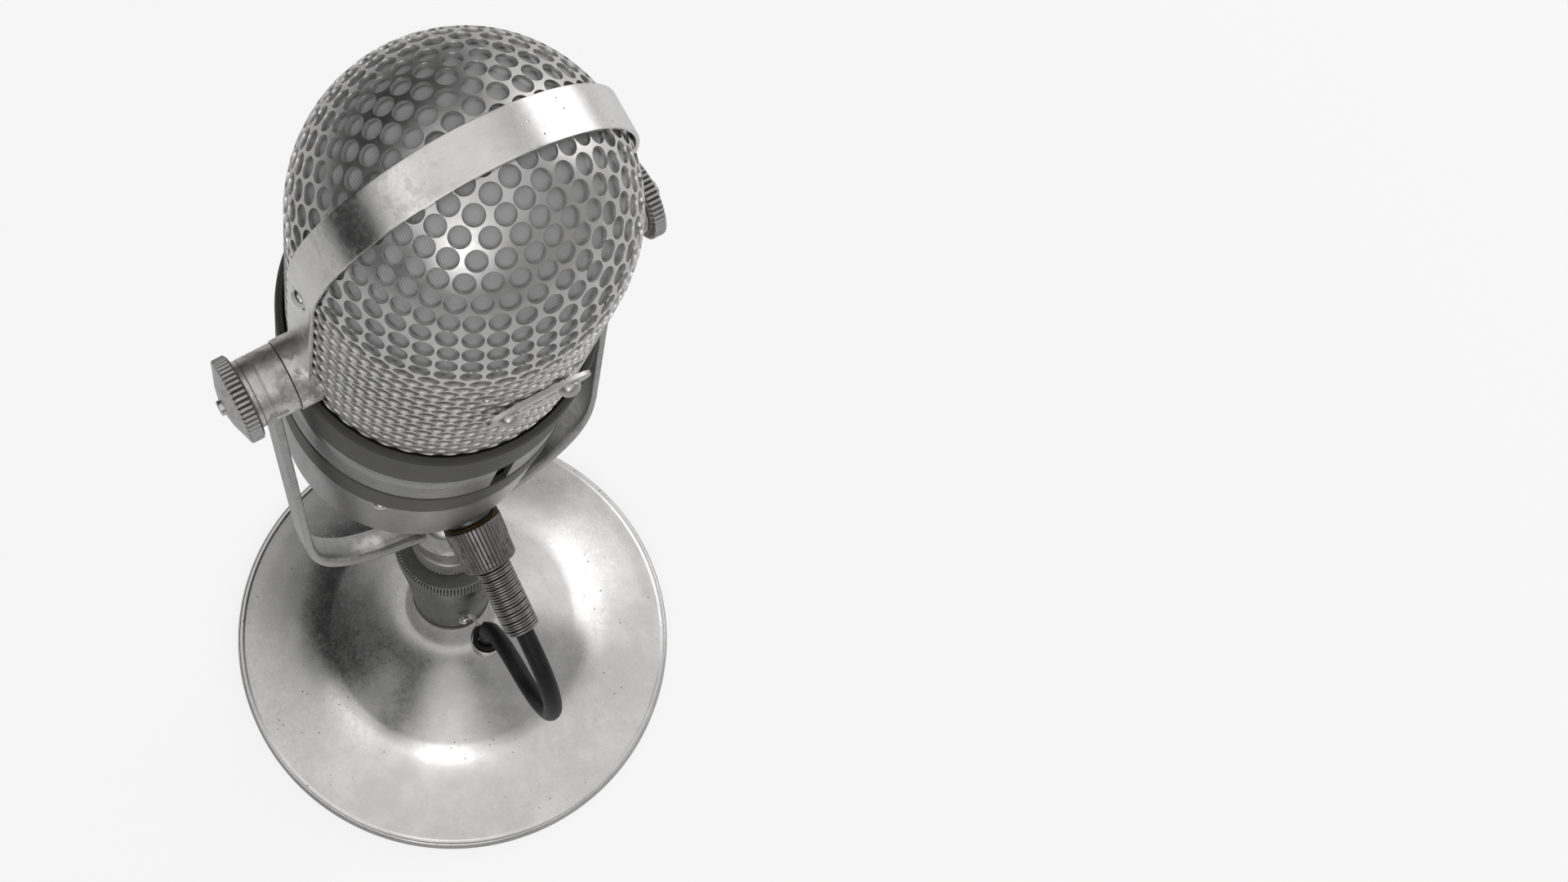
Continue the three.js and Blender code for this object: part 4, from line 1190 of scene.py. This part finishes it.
nut_flutes = flutes(NUT_FLUTES, 0.28, 5, 21, 7.9, 14)
lathe(
    "coupling_nut_fluted",
    [
        (7.7, 6), (9.0, 6, 0.2), (9.2, 6.4, 0.2), (9.15, 9), (9.0, 12), (8.75, 15), (8.6, 18),
        (8.6, 19.3, 0.3), (8.2, 20.1, 0.5), (7.0, 20.5, 0.4), (5.95, 20.5, 0.2),
        (5.95, 18.5), (7.7, 18.5), (7.7, 6),
    ],
    "nut_steel", "coupling_nut", CONNECTOR, ("coupling_nut",), 756, nut_flutes, 60,
)
# A dark ring below the nut, where it meets the shell: painted contact shade.
lathe(
    "nut_contact_shade", [(7.75, 4.9), (9.0, 4.9, 0.3), (9.0, 5.85, 0.3), (7.75, 5.85), (7.75, 4.9)], "rust", "head",
    CONNECTOR, (), 96,
)


def spring():
    wire, pitch, start, end = 0.44, 0.93, 9.2, 43.55
    path_count = int((end - start) / pitch * 40)
    sections = []
    for i in range(path_count + 1):
        t = i / path_count
        z = start + (end - start) * t
        angle = TAU * (end - start) / pitch * t
        wobble = 0.06 * math.sin(angle * 0.37) + 0.04 * math.sin(angle * 1.31)
        centre = Vector((math.cos(angle), math.sin(angle), 0)) * (5.2 + wobble * 0.4)
        out = Vector((math.cos(angle), math.sin(angle), 0))
        z += wobble
        loop = []
        for k in range(10):
            a = TAU * k / 10
            loop.append(tuple(centre + out * (wire * math.cos(a)) + Vector((0, 0, z + wire * math.sin(a)))))
        sections.append(loop)
    return swept(sections)


piece("spring_coil", *spring(), "spring_steel", "head", CONNECTOR, ("spring_sleeve",), 60)
lathe(
    "spring_core", [(3.3, 9), (4.85, 9), (4.85, 43.3), (3.3, 43.3), (3.3, 9)], "rust", "head", CONNECTOR, (),
    64,
)

# ---- carried-over CAD pieces
CARRIED = {
    "weight_iron": ("base_weight", "chassis_tube", "pole_piece_right", "pole_piece_left", "magnet"),
    "dark_steel": ("base_bottom_plate", "stand_tube", "transformer"),
    "brass": ("tube_nut", "ribbon_clamp_bottom", "ribbon_clamp_top", "motor_deck"),
    "foil": ("ribbon",),
}
for material, names in CARRIED.items():
    for name in names:
        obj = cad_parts[name]
        obj.data.materials.clear()
        obj.data.materials.append(material_for(material))


# ---- floor, world, lamps
WORLD_LEVEL = 0.07
WORLD_AREAS = (
    # direction, degrees from it where the area starts and where it is full, strength
    ((0.05, 0.16, 1.0), 56, 26, 0.76),
    ((-0.93, -0.36, 0.24), 44, 20, 0.78),
    ((-0.60, 0.75, 0.10), 50, 20, 0.26),
    ((0.42, 0.70, 0.54), 34, 10, 0.52),
    ((0.80, -0.02, 0.66), 22, 9, 0.8),
    ((0.62, -0.62, 0.30), 48, 22, -0.15),
)


def stage():
    size = 3000
    floor = piece(
        "floor", [(-size, -size, 0), (size, -size, 0), (size, size, 0), (-size, size, 0)], [(0, 1, 2, 3)],
        "felt", None,
    )
    s = Shader("floor")
    s.finish((0.9, 0.9, 0.9), 0.9, metallic=0.0)
    glow = s.node("ShaderNodeEmission")
    glow.inputs[0].default_value = (1, 1, 1, 1)
    path = s.node("ShaderNodeLightPath")
    blend = s.node("ShaderNodeMixShader")
    s.link(s.times(path.outputs["Is Camera Ray"], 0.8), blend.inputs[0])
    s.tree.links.new(s.bsdf.outputs[0], blend.inputs[1])
    s.tree.links.new(glow.outputs[0], blend.inputs[2])
    s.tree.links.new(blend.outputs[0], s.tree.nodes["Material Output"].inputs[0])
    floor.data.materials.clear()
    floor.data.materials.append(s.material)
    studio()


def studio():
    """White behind the object; soft bright and dark areas around it for the metal to reflect."""
    world = bpy.data.worlds.new("studio")
    scene.world = world
    world.use_nodes = True
    tree = world.node_tree
    place = tree.nodes.new("ShaderNodeTexCoord").outputs["Generated"]

    def operation(kind, first, second):
        made = tree.nodes.new("ShaderNodeMath")
        made.operation = kind
        for socket, value in zip(made.inputs, (first, second)):
            if isinstance(value, (int, float)):
                socket.default_value = value
            else:
                tree.links.new(value, socket)
        return made.outputs[0]

    total = WORLD_LEVEL
    for direction, wide, tight, strength in WORLD_AREAS:
        dot = tree.nodes.new("ShaderNodeVectorMath")
        dot.operation = "DOT_PRODUCT"
        tree.links.new(place, dot.inputs[0])
        dot.inputs[1].default_value = Vector(direction).normalized()
        ramp = tree.nodes.new("ShaderNodeMapRange")
        ramp.interpolation_type = "SMOOTHSTEP"
        tree.links.new(dot.outputs["Value"], ramp.inputs[0])
        ramp.inputs[1].default_value = math.cos(math.radians(wide))
        ramp.inputs[2].default_value = math.cos(math.radians(tight))
        total = operation("ADD", total, operation("MULTIPLY", ramp.outputs[0], strength))
    total = operation("MAXIMUM", total, 0.02)
    path = tree.nodes.new("ShaderNodeLightPath")
    mix = tree.nodes.new("ShaderNodeMix")
    tree.links.new(path.outputs["Is Camera Ray"], mix.inputs[0])
    tree.links.new(total, mix.inputs[2])
    mix.inputs[3].default_value = 0.93
    tree.links.new(mix.outputs[0], tree.nodes["Background"].inputs[1])
    tree.nodes["Background"].inputs[0].default_value = (1, 1, 1, 1)


def lamp(name, place, target, power, width, height):
    data = bpy.data.lights.new(name, "AREA")
    data.shape = "RECTANGLE"
    data.size, data.size_y = width, height
    data.energy = power
    obj = added(name, data)
    place = Vector(place)
    aim = (place - Vector(target)).to_track_quat("Z", "Y").to_matrix().to_4x4()
    obj.matrix_world = Matrix.Translation(place) @ aim


stage()
lamp("key", (-1.2, -0.15, 0.8), (0, 0, 0.2), 3, 0.9, 0.9)
lamp("fill", (0.62, 0.92, 1.05), (0, 0, 0.25), 1.8, 0.5, 0.5)
scene.view_settings.view_transform = "Standard"
